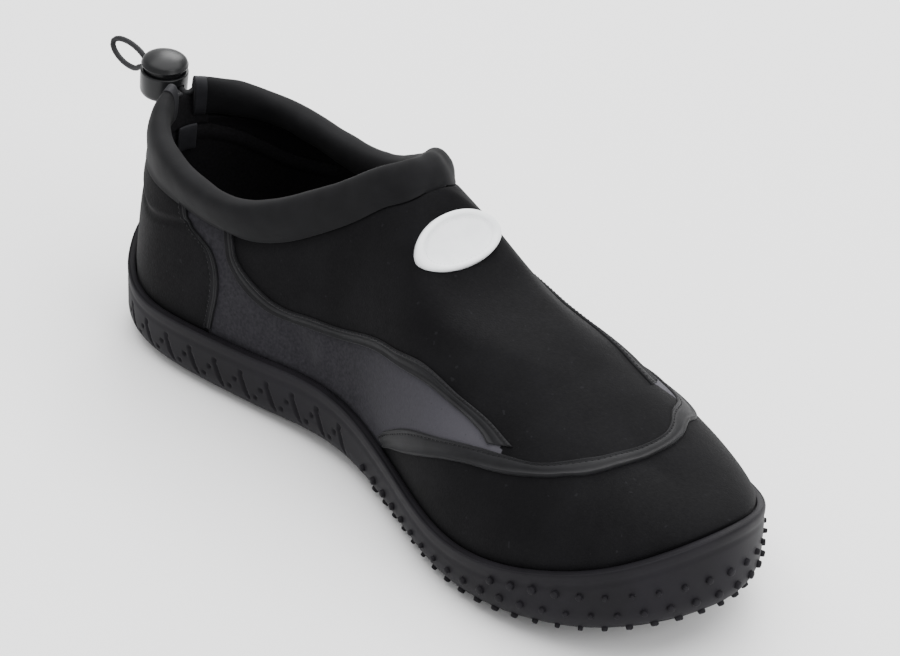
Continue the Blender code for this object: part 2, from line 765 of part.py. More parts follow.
def tape_rings(table):
    """Rings of a tape from its table, with smooth steps between the rows."""
    rows = np.arange(len(table), dtype=float)
    at = np.linspace(0, len(table) - 1, (len(table) - 1) * TAPE_STEPS + 1)
    along_low, across_low, along_high, across_high = [
        open_curve(rows, column(table, TAPE_COLUMNS, name))(at) for name in TAPE_COLUMNS
    ]
    u_low = np.where(across_low < 0, along_low, LOOP_ROWS - along_low)
    u_high = np.where(across_high < 0, along_high, LOOP_ROWS - along_high)
    return band_rings(u_low, 1 - np.abs(across_low), u_high, 1 - np.abs(across_high), TAPE_LIFT, TAPE_THICKNESS)


def label_rings():
    """Small folded label on the inner face of the upper, at the back of the heel."""
    row_width = 2 * abs(float(outline_y(0.5)))
    u = np.linspace(-0.5, 0.5, 7) * LABEL_WIDTH / row_width
    top = top_share(u % LOOP_ROWS)
    run = float(np.linalg.norm(upper_point(0.0, top[3]) - upper_point(0.0, 0.0)))
    high = top * (1 - LABEL_EDGE / run)
    low = top * (1 - (LABEL_EDGE + LABEL_HEIGHT) / run)
    lift = -(UPPER_WALL + LABEL_LIFT + LABEL_THICKNESS)
    return band_rings(u, low, u, high, lift, LABEL_THICKNESS * 0.6)


def badge_shape(vamp):
    """Oval badge with a raised rim, laid on the vamp across the middle line."""
    middle = BADGE_PLACE * LENGTH
    crest = [float(ridge(x) - flat_crest(x)) for x in (middle - BADGE_WIDTH / 3, middle + BADGE_WIDTH / 3)]
    slope = math.atan2(crest[1] - crest[0], BADGE_WIDTH * 2 / 3)
    profile = [
        (1.00, 0.0),
        (1.00, 0.6 * BADGE_THICKNESS),
        (1 - 0.3 * BADGE_RIM / BADGE_WIDTH, BADGE_THICKNESS),
        (1 - 2.0 * BADGE_RIM / BADGE_WIDTH, BADGE_THICKNESS),
        (1 - 2.4 * BADGE_RIM / BADGE_WIDTH, BADGE_THICKNESS * 0.7),
        (0.50, BADGE_THICKNESS * 0.7),
        (0.18, BADGE_THICKNESS * 0.7),
    ]
    rings = []
    for share, lift in [(0.18, 0.0), (0.42, 0.0), (0.68, 0.0), (0.86, 0.0), *profile]:
        ring = []
        for k in range(ROUND_SIDES):
            angle = 2 * math.pi * k / ROUND_SIDES
            y = BADGE_Y + share * BADGE_LENGTH / 2 * math.cos(angle)
            x = middle + share * BADGE_WIDTH / 2 * math.sin(angle) * math.cos(slope)
            hit = vamp.ray_cast(Vector((x, y, 1.0)), Vector((0, 0, -1)))[0]
            rise = (BADGE_LIFT + lift) * math.cos(slope)
            ring.append((x - math.sin(slope) * lift, y, hit.z + rise))
        rings.append(ring)
    return rings


def turned_rings(profile, sides=ROUND_SIDES):
    """Rings of a turned solid from its profile of radius and height."""
    angle = np.linspace(0, 2 * math.pi, sides + 1)[:-1]
    return [[(r * math.cos(a), r * math.sin(a), z) for a in angle] for r, z in profile]


def add_turned(name, profile, surface):
    made = sweep(name, turned_rings(profile), surface)
    made.matrix_local = lock_place
    return made


def add_cord_hole(target, bottom, top):
    """Cut the two cords' way through a piece of the lock, along its own X."""
    wide = CORD_SPACING + CORD_DIAMETER + 2 * CORD_CLEARANCE
    shape = bmesh.new()
    bmesh.ops.create_cube(shape, size=1.0)
    bmesh.ops.scale(shape, vec=(4 * LOCK_RADIUS, wide, top - bottom), verts=shape.verts)
    bmesh.ops.translate(shape, vec=(0, 0, (top + bottom) / 2), verts=shape.verts)
    cutter = add_object(target.name + "_cord_way", shape, target.data.materials[0])
    cutter.matrix_local = lock_place
    cutter.hide_render = True
    cutter.display_type = "WIRE"
    cut = target.modifiers.new("cord_way", "BOOLEAN")
    cut.operation = "DIFFERENCE"
    cut.object = cutter


def smooth_route(points, count):
    """Evenly spaced points on a smooth curve through a route's own points."""
    points = np.array(points, float)
    padded = np.concatenate([[2 * points[0] - points[1]], points, [2 * points[-1] - points[-2]]])
    fine = []
    for i in range(len(points) - 1):
        a, b, c, d = padded[i : i + 4]
        for t in np.linspace(0, 1, 16, endpoint=False):
            bend = (-a + 3 * b - 3 * c + d) * t**3 + (2 * a - 5 * b + 4 * c - d) * t**2 + (c - a) * t
            fine.append(b + bend / 2)
    fine.append(points[-1])
    return resample(np.array(fine), [], count)[0]


def cord_route():
    """The drawcord from the collar's inner end through the lock, round its loop and back."""
    points, along, up, _ = collar_path()
    height, _ = collar_sizes()
    ends = []
    for k, away in ((0, -1), (-1, 1)):
        face = points[k] + up[k] * (COLLAR_LIFT + height[k] * CORD_EXIT_SHARE)
        ends.append((face + away * along[k] * CORD_END_GAP, face + away * along[k] * CORD_LEAD))
    to_world = np.array(lock_place)
    half = CORD_SPACING / 2

    def local(x, y, z):
        return to_world[:3, :3] @ np.array([x, y, z]) + to_world[:3, 3]

    def strand(side):
        return [local(x * LOCK_RADIUS, side * half, CORD_HEIGHT) for x in (1.35, 0.9, 0.0, -0.9, -1.35)]

    loop = []
    for reach, side, rise in CORD_LOOP:
        x = -LOCK_RADIUS - reach * LOOP_REACH
        loop.append(local(x, side * half, CORD_HEIGHT + rise * LOOP_SPREAD))
    route = [ends[0][0], ends[0][1], *strand(-1), *loop, *reversed(strand(1)), ends[1][1], ends[1][0]]
    return smooth_route(route, CORD_POINTS)


def add_cord(name, points, surface):
    data = bpy.data.curves.new(name, "CURVE")
    data.dimensions = "3D"
    data.bevel_depth = CORD_DIAMETER / 2
    data.bevel_resolution = 2
    data.use_fill_caps = True
    line = data.splines.new("POLY")
    line.points.add(len(points) - 1)
    for target, point in zip(line.points, points):
        target.co = (*point, 1.0)
    data.materials.append(surface)
    made = bpy.data.objects.new(name, data)
    bpy.context.scene.collection.objects.link(made)
    made.parent = shoe_frame
    return made


def add_lock(surface):
    """Barrel with a bore from above, and the button whose stem slides in it."""
    bore = LOCK_RADIUS - LOCK_WALL
    barrel = [
        (LOCK_RADIUS * 0.72, 0.0),
        (LOCK_RADIUS * 0.93, LOCK_HEIGHT * 0.09),
        (LOCK_RADIUS, LOCK_HEIGHT * 0.26),
        (LOCK_RADIUS, LOCK_HEIGHT * 0.95),
        (LOCK_RADIUS * 0.96, LOCK_HEIGHT),
        (bore, LOCK_HEIGHT),
        (bore, LOCK_FLOOR),
    ]
    cord_low = CORD_HEIGHT - CORD_DIAMETER / 2 - CORD_CLEARANCE
    cord_high = CORD_HEIGHT + CORD_DIAMETER / 2 + CORD_CLEARANCE
    made = add_turned("lock_barrel", barrel, surface)
    add_cord_hole(made, cord_low, cord_high)
    stem = bore - FIT_GAP
    foot = LOCK_FLOOR + BUTTON_TRAVEL + FIT_GAP
    under = LOCK_HEIGHT + BUTTON_TRAVEL + FIT_GAP
    button = [(stem, foot), (stem, under), (BUTTON_RADIUS, under), (BUTTON_RADIUS, under + BUTTON_EDGE)]
    for turn in (25, 50, 72):
        angle = math.radians(turn)
        button.append((BUTTON_RADIUS * math.cos(angle), under + BUTTON_EDGE + BUTTON_CROWN * math.sin(angle)))
    made = add_turned("lock_button", button, surface)
    add_cord_hole(made, cord_low, cord_high + BUTTON_TRAVEL)


def centre_on_floor():
    """Set the shoe's frame so that the middle of its box stands on the origin, the cord left out."""
    bpy.context.view_layer.update()
    depsgraph = bpy.context.evaluated_depsgraph_get()
    corners = []
    for item in bpy.context.scene.objects:
        if item.type == "MESH" and not item.hide_render:
            solid = item.evaluated_get(depsgraph)
            mesh = solid.to_mesh()
            corners += [solid.matrix_world @ vertex.co for vertex in mesh.vertices]
            solid.to_mesh_clear()
    corners = np.array(corners)
    low, high = corners.min(0), corners.max(0)
    middle = (low + high) / 2
    shoe_frame.location = (-middle[0], -middle[1], -low[2])


for leftover in list(bpy.data.objects):
    bpy.data.objects.remove(leftover, do_unlink=True)

shoe_frame = bpy.data.objects.new("shoe_frame", None)
bpy.context.scene.collection.objects.link(shoe_frame)
lock_place = Matrix.Translation((LOCK_BACK, 0, LOCK_BASE)) @ Matrix.Rotation(LOCK_LEAN, 4, "Y")

sole_rubber = material("sole_rubber", (0.040, 0.038, 0.044), 0.62)
stretch_black = material("stretch_black", (0.012, 0.012, 0.014), 0.85)
insole_foam = material("insole_foam", (0.020, 0.020, 0.022), 0.9)
collar_knit = material("collar_knit", (0.016, 0.016, 0.018), 0.85)
tape_satin = material("tape_satin", (0.020, 0.020, 0.023), 0.5)
badge_rubber = material("badge_rubber", (0.78, 0.80, 0.82), 0.45)
lock_plastic = material("lock_plastic", (0.016, 0.017, 0.018), 0.32)
cord_braid = material("cord_braid", (0.020, 0.020, 0.022), 0.7)
label_weave = material("label_weave", (0.055, 0.055, 0.060), 0.8)

add_object("outsole", sole_shape(), sole_rubber)
add_object("insole", insole_shape(), insole_foam)
upper_sheet = upper_shape()
vamp_surface = BVHTree.FromBMesh(upper_sheet)
upper = add_object("upper", upper_sheet, stretch_black)
wall = upper.modifiers.new("wall", "SOLIDIFY")
wall.thickness = UPPER_WALL
wall.offset = -1
sweep("collar", collar_rings(), collar_knit, 60)
sweep("toe_tape", tape_rings(TOE_TAPE), tape_satin, 60)
sweep("inner_side_tape", tape_rings(INNER_SIDE_TAPE), tape_satin, 60)
sweep("outer_side_tape", tape_rings(OUTER_SIDE_TAPE), tape_satin, 60)
sweep("inner_heel_tape", tape_rings(INNER_HEEL_TAPE), tape_satin, 60)
sweep("outer_heel_tape", tape_rings(OUTER_HEEL_TAPE), tape_satin, 60)
sweep("heel_label", label_rings(), label_weave)
sweep("badge", badge_shape(vamp_surface), badge_rubber)
add_lock(lock_plastic)
add_cord("drawcord", cord_route(), cord_braid)
centre_on_floor()
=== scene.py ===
import bpy
import bmesh
import math
import numpy as np
from mathutils import Matrix, Vector
from mathutils.bvhtree import BVHTree


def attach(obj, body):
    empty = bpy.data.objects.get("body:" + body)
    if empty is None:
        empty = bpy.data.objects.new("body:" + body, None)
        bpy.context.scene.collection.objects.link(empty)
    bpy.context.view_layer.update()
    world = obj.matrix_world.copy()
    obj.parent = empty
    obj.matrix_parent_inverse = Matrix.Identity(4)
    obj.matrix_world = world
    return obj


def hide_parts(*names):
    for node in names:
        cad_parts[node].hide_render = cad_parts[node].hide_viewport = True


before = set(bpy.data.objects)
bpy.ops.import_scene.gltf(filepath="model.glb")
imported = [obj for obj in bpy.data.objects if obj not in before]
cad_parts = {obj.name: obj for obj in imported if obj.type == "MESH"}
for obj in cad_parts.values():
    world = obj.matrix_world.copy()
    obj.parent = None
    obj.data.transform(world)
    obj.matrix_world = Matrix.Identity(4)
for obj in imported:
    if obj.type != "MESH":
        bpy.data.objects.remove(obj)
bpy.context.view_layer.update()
heelPoint = np.array([-0.13598, 0.00058, 0.0])  # where the heel end of the sole's outline lies
print("stage: frame loaded")


# camera first, at the place found from the photo

camera = {
    "place": (0.79284, -0.58100, 0.55022),  # from the heel end of the outline
    "pitch": 0.5467,
    "heading": 2.48237,
    "lens": 100.12,
    "sensor": 36.0,
    "closer": 1.27,
    "picture": (900, 656),
    "aim": (611.0, 279.0),  # the shoe's middle in the photo's frame
}


def placeCamera():
    data = bpy.data.cameras.new("photoCamera")
    item = bpy.data.objects.new("photoCamera", data)
    bpy.context.scene.collection.objects.link(item)
    heading, pitch = camera["heading"], camera["pitch"]
    level = Vector((math.cos(heading), math.sin(heading), 0))
    right = Vector((math.sin(heading), -math.cos(heading), 0))
    ahead = math.cos(pitch) * level - math.sin(pitch) * Vector((0, 0, 1))
    above = math.sin(pitch) * level + math.cos(pitch) * Vector((0, 0, 1))
    reach = camera["lens"] / camera["sensor"] * camera["picture"][0]
    across, down = [spot - side / 2 for spot, side in zip(camera["aim"], camera["picture"])]
    aim = (ahead * reach + right * across - above * down).normalized()
    turn = ahead.rotation_difference(aim).to_matrix()
    axes = Matrix((turn @ right, turn @ above, -(turn @ ahead))).transposed()
    item.matrix_world = Matrix.Translation(Vector(camera["place"]) + Vector(heelPoint)) @ axes.to_4x4()
    data.lens = camera["lens"] * camera["closer"]
    data.clip_start = 0.05
    bpy.context.scene.camera = item


placeCamera()
print("stage: camera placed")


# the last, in the same sizes as the part

last = {
    "length": 0.282,
    "ballWidth": 0.109,
    "instep": 0.105,
    "collarLine": 0.070,
    "rim": 0.029,
    "toeSpring": 0.0144,
    "heelLift": 0.004,
    "archLift": 0.0015,
    "rimWall": 0.0028,
    "cupFloor": 0.0078,
    "upperWall": 0.0030,
    "fitGap": 0.0003,
    "spineStart": 0.130,
    "spineRun": 0.750,
    "throat": 0.493,
    "flatSoftness": 0.6,
    "edgeRound": 0.0090,
}
# x, medial half width, lateral half width, middle line, rim on the inner side, rim on the outer side
sections = [
    (0.000, 0.000, 0.000, 0.000, 1.00, 1.00),
    (0.032, 0.210, 0.215, 0.000, 0.90, 0.90),
    (0.108, 0.345, 0.345, 0.000, 0.73, 0.73),
    (0.210, 0.365, 0.370, 0.000, 0.73, 0.69),
    (0.330, 0.325, 0.380, 0.000, 0.76, 0.62),
    (0.450, 0.300, 0.400, 0.000, 0.76, 0.59),
    (0.565, 0.350, 0.440, 0.000, 0.66, 0.55),
    (0.680, 0.440, 0.475, -0.005, 0.59, 0.55),
    (0.790, 0.465, 0.450, -0.015, 0.62, 0.59),
    (0.885, 0.400, 0.360, -0.035, 0.73, 0.69),
    (0.960, 0.255, 0.225, -0.060, 0.87, 0.86),
    (1.000, 0.000, 0.000, -0.070, 1.00, 1.00),
]
# swell over the rim, height of the side, width of the roof on the inner and outer side, how much the
# roof follows the middle line
fullness = [
    (0.06, 0.24, 0.12, 0.12, 1.00),
    (0.06, 0.24, 0.14, 0.14, 1.00),
    (0.05, 0.24, 0.22, 0.22, 1.00),
    (0.04, 0.24, 0.36, 0.36, 1.00),
    (0.04, 0.26, 0.46, 0.46, 1.00),
    (0.03, 0.26, 0.54, 0.50, 1.00),
    (0.03, 0.27, 0.92, 0.52, 1.00),
    (0.02, 0.30, 0.72, 0.54, 1.00),
    (0.02, 0.34, 0.60, 0.57, 0.90),
    (0.02, 0.40, 0.60, 0.60, 0.60),
    (0.02, 0.46, 0.62, 0.62, 0.25),
    (0.02, 0.50, 0.64, 0.64, 0.10),
]
# height of the middle line: shares of length and instep
ridgeLine = [
    (0.00, 1.56), (0.10, 1.44), (0.25, 1.172), (0.40, 0.998), (0.50, 0.866), (0.60, 0.690),
    (0.70, 0.604), (0.80, 0.524), (0.88, 0.456), (0.95, 0.420), (1.00, 0.400),
]
# how much the crest is flattened under the badge: shares of length and instep
flatCrestLine = [
    (0.493, 0.000), (0.510, 0.034), (0.530, 0.060), (0.570, 0.062), (0.620, 0.042), (0.680, 0.016),
    (0.740, 0.000),
]
# share of length, height as a share of the collar line, how far it climbs to the throat
collarSeamLine = [
    (0.000, 0.940, 0.00), (0.080, 0.910, 0.00), (0.160, 0.885, 0.00), (0.240, 0.845, 0.00),
    (0.300, 0.845, 0.02), (0.340, 0.845, 0.13), (0.390, 0.845, 0.37), (0.430, 0.845, 0.61),
    (0.465, 0.845, 0.86), (0.484, 0.845, 0.95), (0.493, 0.845, 1.00),
]
lastRow = len(sections) - 1
loopRows = 2 * lastRow


def closedCurve(values):
    points = np.array(values, float)
    count = len(points)
    ring = 4 * np.eye(count) + np.roll(np.eye(count), 1, 0) + np.roll(np.eye(count), -1, 0)
    slopes = np.linalg.solve(ring, 3 * (np.roll(points, -1) - np.roll(points, 1)))

    def value(row):
        row = np.asarray(row, float) % count
        start = np.floor(row).astype(int) % count
        end = (start + 1) % count
        t = row - np.floor(row)
        return (
            points[start] * (1 + 2 * t) * (1 - t) ** 2
            + slopes[start] * t * (1 - t) ** 2
            + points[end] * t * t * (3 - 2 * t)
            - slopes[end] * t * t * (1 - t)
        )

    return value


def openCurve(places, values):
    places = np.array(places, float)
    values = np.array(values, float)
    slopes = np.gradient(values, places)

    def value(place):
        place = np.clip(place, places[0], places[-1])
        start = np.clip(np.searchsorted(places, place, side="right") - 1, 0, len(places) - 2)
        width = places[start + 1] - places[start]
        t = (place - places[start]) / width
        return (
            values[start] * (1 + 2 * t) * (1 - t) ** 2
            + slopes[start] * width * t * (1 - t) ** 2
            + values[start + 1] * t * t * (3 - 2 * t)
            - slopes[start + 1] * width * t * t * (1 - t)
        )

    return value


def around(inner, outer):
    return closedCurve(list(inner) + list(outer[-2:0:-1]))


table = np.array(sections)
lineY = table[:, 3] * last["ballWidth"]
outlineX = around(table[:, 0] * last["length"], table[:, 0] * last["length"])
outlineY = around(lineY - table[:, 1] * last["ballWidth"], lineY + table[:, 2] * last["ballWidth"])
middleY = around(lineY, lineY)
rimRise = around(table[:, 4] * last["rim"], table[:, 5] * last["rim"])
full = np.array(fullness).T
swellAt, sideAt, roofAt, tiltAt = [around(full[a], full[b]) for a, b in ((0, 0), (1, 1), (2, 3), (4, 4))]
ridge = openCurve(*(np.array(ridgeLine).T * np.array([[last["length"]], [last["instep"]]])))
flatCrest = openCurve(*(np.array(flatCrestLine).T * np.array([[last["length"]], [last["instep"]]])))
seamPlaces, seamLines, seamClimbs = np.array(collarSeamLine).T
seamLines = seamLines * last["collarLine"]
throatHeight = float(ridge(last["throat"] * last["length"]))
collarSeam = openCurve(seamPlaces * last["length"], seamLines + (throatHeight - seamLines) * seamClimbs)


def ground(x):
    share = np.asarray(x, float) / last["length"]
    toe = np.clip((share - 0.70) / 0.30, 0, 1) ** 1.8
    heel = np.clip((0.06 - share) / 0.06, 0, 1) ** 2
    arch = np.clip(1 - ((share - 0.44) / 0.13) ** 2, 0, 1) ** 2
    return last["toeSpring"] * toe + last["heelLift"] * heel + last["archLift"] * arch


def floorHeight(x):
    share = np.asarray(x, float) / last["length"]
    return last["cupFloor"] + last["toeSpring"] * np.clip((share - 0.70) / 0.30, 0, 1) ** 1.8


def planPoint(u, inset):
    step = 1e-3
    dx = outlineX(u + step) - outlineX(u - step)
    dy = outlineY(u + step) - outlineY(u - step)
    run = np.hypot(dx, dy)
    return outlineX(u) - inset * dy / run, outlineY(u) + inset * dx / run


def rimHeight(u):
    return ground(outlineX(u)) + rimRise(u)


def upperPoint(u, v):
    u, v = np.broadcast_arrays(np.asarray(u, float), np.asarray(v, float))
    footX, footY = planPoint(u, last["rimWall"] + last["fitGap"])
    footZ = rimHeight(u) + last["fitGap"]
    topX = last["spineStart"] * last["length"] + last["spineRun"] * outlineX(u)
    topY = middleY(u)
    out = (1 - v) ** 3 + 3 * (1 - v) ** 2 * v * (1 + swellAt(u)) + 3 * (1 - v) * v**2 * roofAt(u)
    up = 3 * (1 - v) ** 2 * v * sideAt(u) + 3 * (1 - v) * v**2 + v**3
    x = topX + (footX - topX) * out
    y = topY + (footY - topY) * out
    slope = (ridge(topX + 1e-4) - ridge(topX - 1e-4)) / 2e-4
    follow = 1 - (1 - tiltAt(u)) * (1 - (1 - out) ** 3)
    roofZ = ridge(topX) + follow * slope * (x - topX)
    return np.stack([x, y, flattened(x, footZ + (roofZ - footZ) * up)], -1)


def flattened(x, z):
    drop = flatCrest(x)
    cap = ridge(x) - drop
    soft = np.maximum(last["flatSoftness"] * drop, 1e-6)
    rounded = z - (z - cap + soft) ** 2 / (4 * soft)
    level = np.where(z > cap + soft, cap, np.where(z > cap - soft, rounded, z))
    return np.maximum(level, z - drop)


def smoothStep(value, low, high):
    t = np.clip((value - low) / (high - low), 0, 1)
    return t * t * (3 - 2 * t)


def unit(vectors):
    return vectors / np.maximum(np.linalg.norm(vectors, axis=-1, keepdims=True), 1e-12)


def sideNormal(u, v):
    forward = upperPoint(u + 1e-3, v) - upperPoint(u - 1e-3, v)
    upward = upperPoint(u, v + 1e-3) - upperPoint(u, v - 1e-3)
    return unit(np.cross(forward, upward))


def upperNormal(u, v):
    # near the middle line both sides share one direction
    u, v = np.broadcast_arrays(np.asarray(u, float), np.asarray(v, float))
    own = sideNormal(u, np.clip(v, 0.002, 0.995))
    crest = np.full(v.shape, 0.985)
    shared = unit(sideNormal(u, crest) + sideNormal((loopRows - u) % loopRows, crest))
    blend = smoothStep(v, 0.95, 0.998)[..., None]
    return unit(own * (1 - blend) + shared * blend)


def throatRow():
    rows = np.linspace(0, lastRow, 2001)
    spine = last["spineStart"] * last["length"] + last["spineRun"] * outlineX(rows)
    return float(np.interp(last["throat"] * last["length"], spine, rows))


throat = throatRow()


def topShare(u):
    u = np.asarray(u, float)
    row = np.where(u > lastRow, loopRows - u, u)
    low, high = np.zeros_like(u), np.ones_like(u)
    for _ in range(40):
        middle = (low + high) / 2
        point = upperPoint(u, middle)
        below = point[..., 2] < collarSeam(point[..., 0])
        low = np.where(below, middle, low)
        high = np.where(below, high, middle)
    return np.where(row >= throat, 1.0, low)


def runAlong(points):
    return np.concatenate([[0], np.cumsum(np.linalg.norm(np.diff(points, axis=0), axis=1))])


def resample(points, values, count):
    run = runAlong(points)
    at = np.linspace(0, run[-1], count)
    return [np.stack([np.interp(at, run, part[:, k]) for k in range(3)], -1) for part in (points, *values)]


def hill(value, centre, width):
    return np.exp(-(((value - centre) / width) ** 2))


def ripple(points, size, seed):
    # slow smooth unevenness from a few crossing waves
    rng = np.random.default_rng(seed)
    total = 0
    for _ in range(7):
        direction = rng.normal(size=3)
        direction *= 2 * math.pi / (np.linalg.norm(direction) * size * rng.uniform(0.7, 1.6))
        total = total + np.sin(points @ direction + rng.uniform(0, 6.28))
    return total / 7


# helpers that make pieces


def finishPiece(name, bm, surfaces, replaced=(), body="shoe", smooth=True):
    mesh = bpy.data.meshes.new(name)
    bm.to_mesh(mesh)
    bm.free()
    for surface in surfaces:
        mesh.materials.append(surface)
    if smooth:
        mesh.shade_smooth()
    item = bpy.data.objects.new(name, mesh)
    bpy.context.scene.collection.objects.link(item)
    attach(item, body)
    for node in replaced:
        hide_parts(node)
    return item


def mappedGrid(alongCount, acrossCount, place, weld=2e-6, extra=None):
    # a grid whose points are moved to place(along, across); its UV map keeps along and across
    bm = bmesh.new()
    bmesh.ops.create_grid(bm, x_segments=alongCount, y_segments=acrossCount, size=0.5)
    layer = bm.loops.layers.uv.new("weave")
    verts = list(bm.verts)
    along = np.array([v.co.x for v in verts]) + 0.5
    across = np.array([v.co.y for v in verts]) + 0.5
    spots = {v.index: (a, b) for v, a, b in zip(verts, along, across)}
    for face in bm.faces:
        for loop in face.loops:
            loop[layer].uv = spots[loop.vert.index]
    points = place(along, across) + heelPoint
    if extra:
        for label, function in extra.items():
            mark = bm.verts.layers.float.new(label)
            for v, value in zip(bm.verts, function(along, across)):
                v[mark] = float(value)
    for v, point in zip(bm.verts, points):
        v.co = point
    if weld:
        bmesh.ops.remove_doubles(bm, verts=bm.verts, dist=weld)
    return bm


def outward(bm):
    bmesh.ops.recalc_face_normals(bm, faces=bm.faces)
    return bm


def joinInto(target, source):
    mesh = bpy.data.meshes.new("spare")
    source.to_mesh(mesh)
    source.free()
    target.from_mesh(mesh)
    bpy.data.meshes.remove(mesh)


# materials


def newMaterial(name, color, roughness, specular=0.5, sheen=0.0, sheenSpread=0.5):
    made = bpy.data.materials.new(name)
    made.use_nodes = True
    shader = made.node_tree.nodes["Principled BSDF"]
    shader.inputs["Base Color"].default_value = (*color, 1)
    shader.inputs["Roughness"].default_value = roughness
    shader.inputs["Specular IOR Level"].default_value = specular
    shader.inputs["Sheen Weight"].default_value = sheen
    shader.inputs["Sheen Roughness"].default_value = sheenSpread
    return made, made.node_tree.nodes, made.node_tree.links, shader


def addNode(nodes, kind, **settings):
    node = nodes.new(kind)
    for key, value in settings.items():
        if key in node.inputs:
            node.inputs[key].default_value = value
        else:
            setattr(node, key, value)
    return node


def noiseFrom(nodes, links, source, scale, detail=2.0, rough=0.5, stretch=(1, 1, 1)):
    mapping = addNode(nodes, "ShaderNodeMapping")
    mapping.inputs["Scale"].default_value = stretch
    links.new(source, mapping.inputs["Vector"])
    noise = addNode(nodes, "ShaderNodeTexNoise", Scale=scale, Detail=detail, Roughness=rough)
    links.new(mapping.outputs["Vector"], noise.inputs["Vector"])
    return noise.outputs["Fac"]


def rampBetween(nodes, links, source, low, high, first, second):
    ramp = addNode(nodes, "ShaderNodeValToRGB")
    ramp.color_ramp.elements[0].position = low
    ramp.color_ramp.elements[1].position = high
    ramp.color_ramp.elements[0].color = (*first, 1)
    ramp.color_ramp.elements[1].color = (*second, 1)
    links.new(source, ramp.inputs["Fac"])
    return ramp.outputs["Color"]


def rangeBetween(nodes, links, source, start=0.0, end=1.0, low=0.0, high=1.0):
    limits = {"From Min": start, "From Max": end, "To Min": low, "To Max": high}
    spread = addNode(nodes, "ShaderNodeMapRange", **limits)
    links.new(source, spread.inputs["Value"])
    return spread.outputs["Result"]


def mixColors(nodes, links, factor, first, second):
    mix = addNode(nodes, "ShaderNodeMix", data_type="RGBA")
    for socket, value in ((mix.inputs[0], factor), (mix.inputs[6], first), (mix.inputs[7], second)):
        if isinstance(value, (tuple, list)):
            socket.default_value = (*value, 1)
        elif isinstance(value, (int, float)):
            socket.default_value = value
        else:
            links.new(value, socket)
    return mix.outputs[2]


def addBump(nodes, links, shader, height, strength, distance, under=None):
    bump = addNode(nodes, "ShaderNodeBump", Strength=strength, Distance=distance)
    links.new(height, bump.inputs["Height"])
    if under:
        links.new(under, bump.inputs["Normal"])
    links.new(bump.outputs["Normal"], shader.inputs["Normal"])
    return bump.outputs["Normal"]


def objectSpot(nodes):
    return nodes.new("ShaderNodeTexCoord").outputs["Object"]


knitFinish = {
    "black": (0.0022, 0.0021, 0.0026),
    "blackLight": (0.0040, 0.0039, 0.0046),
    "grey": (0.012, 0.0115, 0.0140),
    "greyLight": (0.024, 0.0230, 0.0270),
    # painted light: the grey panels' colour at the front, where they are painted as lit brightest
    "greyPaintedLight": (0.062, 0.060, 0.070),
    "paintedLightFade": (0.000, 0.085),  # where along the shoe the panels turn lighter: painted light, brighter towards the front, darker towards the heel and arch
    "lint": (0.016, 0.016, 0.018),
    "roughness": 0.80,
    "roughRange": (0.70, 0.90),
    "specular": 0.09,
    "sheen": 0.02,
    "knitSize": 1500.0,
}


def knitMaterial():
    made, nodes, links, shader = newMaterial(
        "stretchKnit", knitFinish["black"], knitFinish["roughness"], knitFinish["specular"],
        knitFinish["sheen"], 0.35,
    )
    spot = objectSpot(nodes)
    cloud = noiseFrom(nodes, links, spot, 60.0, 3.0)
    black = rampBetween(nodes, links, cloud, 0.35, 0.7, knitFinish["black"], knitFinish["blackLight"])
    fine = noiseFrom(nodes, links, spot, 900.0, 2.0)
    grey = rampBetween(nodes, links, fine, 0.3, 0.75, knitFinish["grey"], knitFinish["greyLight"])
    axes = addNode(nodes, "ShaderNodeSeparateXYZ")
    links.new(spot, axes.inputs[0])
    # painted light: the grey panels are painted lighter towards the front and darker towards the heel and
    # arch
    front = rangeBetween(nodes, links, axes.outputs["X"], *knitFinish["paintedLightFade"])
    grey = mixColors(nodes, links, front, grey, knitFinish["greyPaintedLight"])
    panel = addNode(nodes, "ShaderNodeAttribute", attribute_name="panel")
    mask = rangeBetween(nodes, links, panel.outputs["Fac"], 0.35, 0.65)
    base = mixColors(nodes, links, mask, black, grey)
    speck = noiseFrom(nodes, links, spot, 650.0, 0.0)
    dots = rangeBetween(nodes, links, speck, 0.80, 0.84, high=0.35)
    base = mixColors(nodes, links, dots, base, knitFinish["lint"])
    links.new(base, shader.inputs["Base Color"])
    low, high = knitFinish["roughRange"]
    links.new(rangeBetween(nodes, links, fine, low=low, high=high), shader.inputs["Roughness"])
    cells = addNode(nodes, "ShaderNodeTexVoronoi", Scale=knitFinish["knitSize"])
    links.new(spot, cells.inputs["Vector"])
    under = addBump(nodes, links, shader, cells.outputs["Distance"], 0.25, 0.0002)
    addBump(nodes, links, shader, cloud, 0.25, 0.0008, under)
    return made


def wovenFinish(dark, light, roughness, ribSize=2600.0):
    return {
        "dark": dark,
        "light": light,
        "lightFrom": 0.75,
        "roughness": roughness,
        "specular": 0.13,
        "sheen": 0.02,
        "cloud": (130.0, 3.0),
        "bumps": [((ribSize, 1.0), 0.3, 0.0001), ((130.0, 3.0), 0.25, 0.0005)],
    }


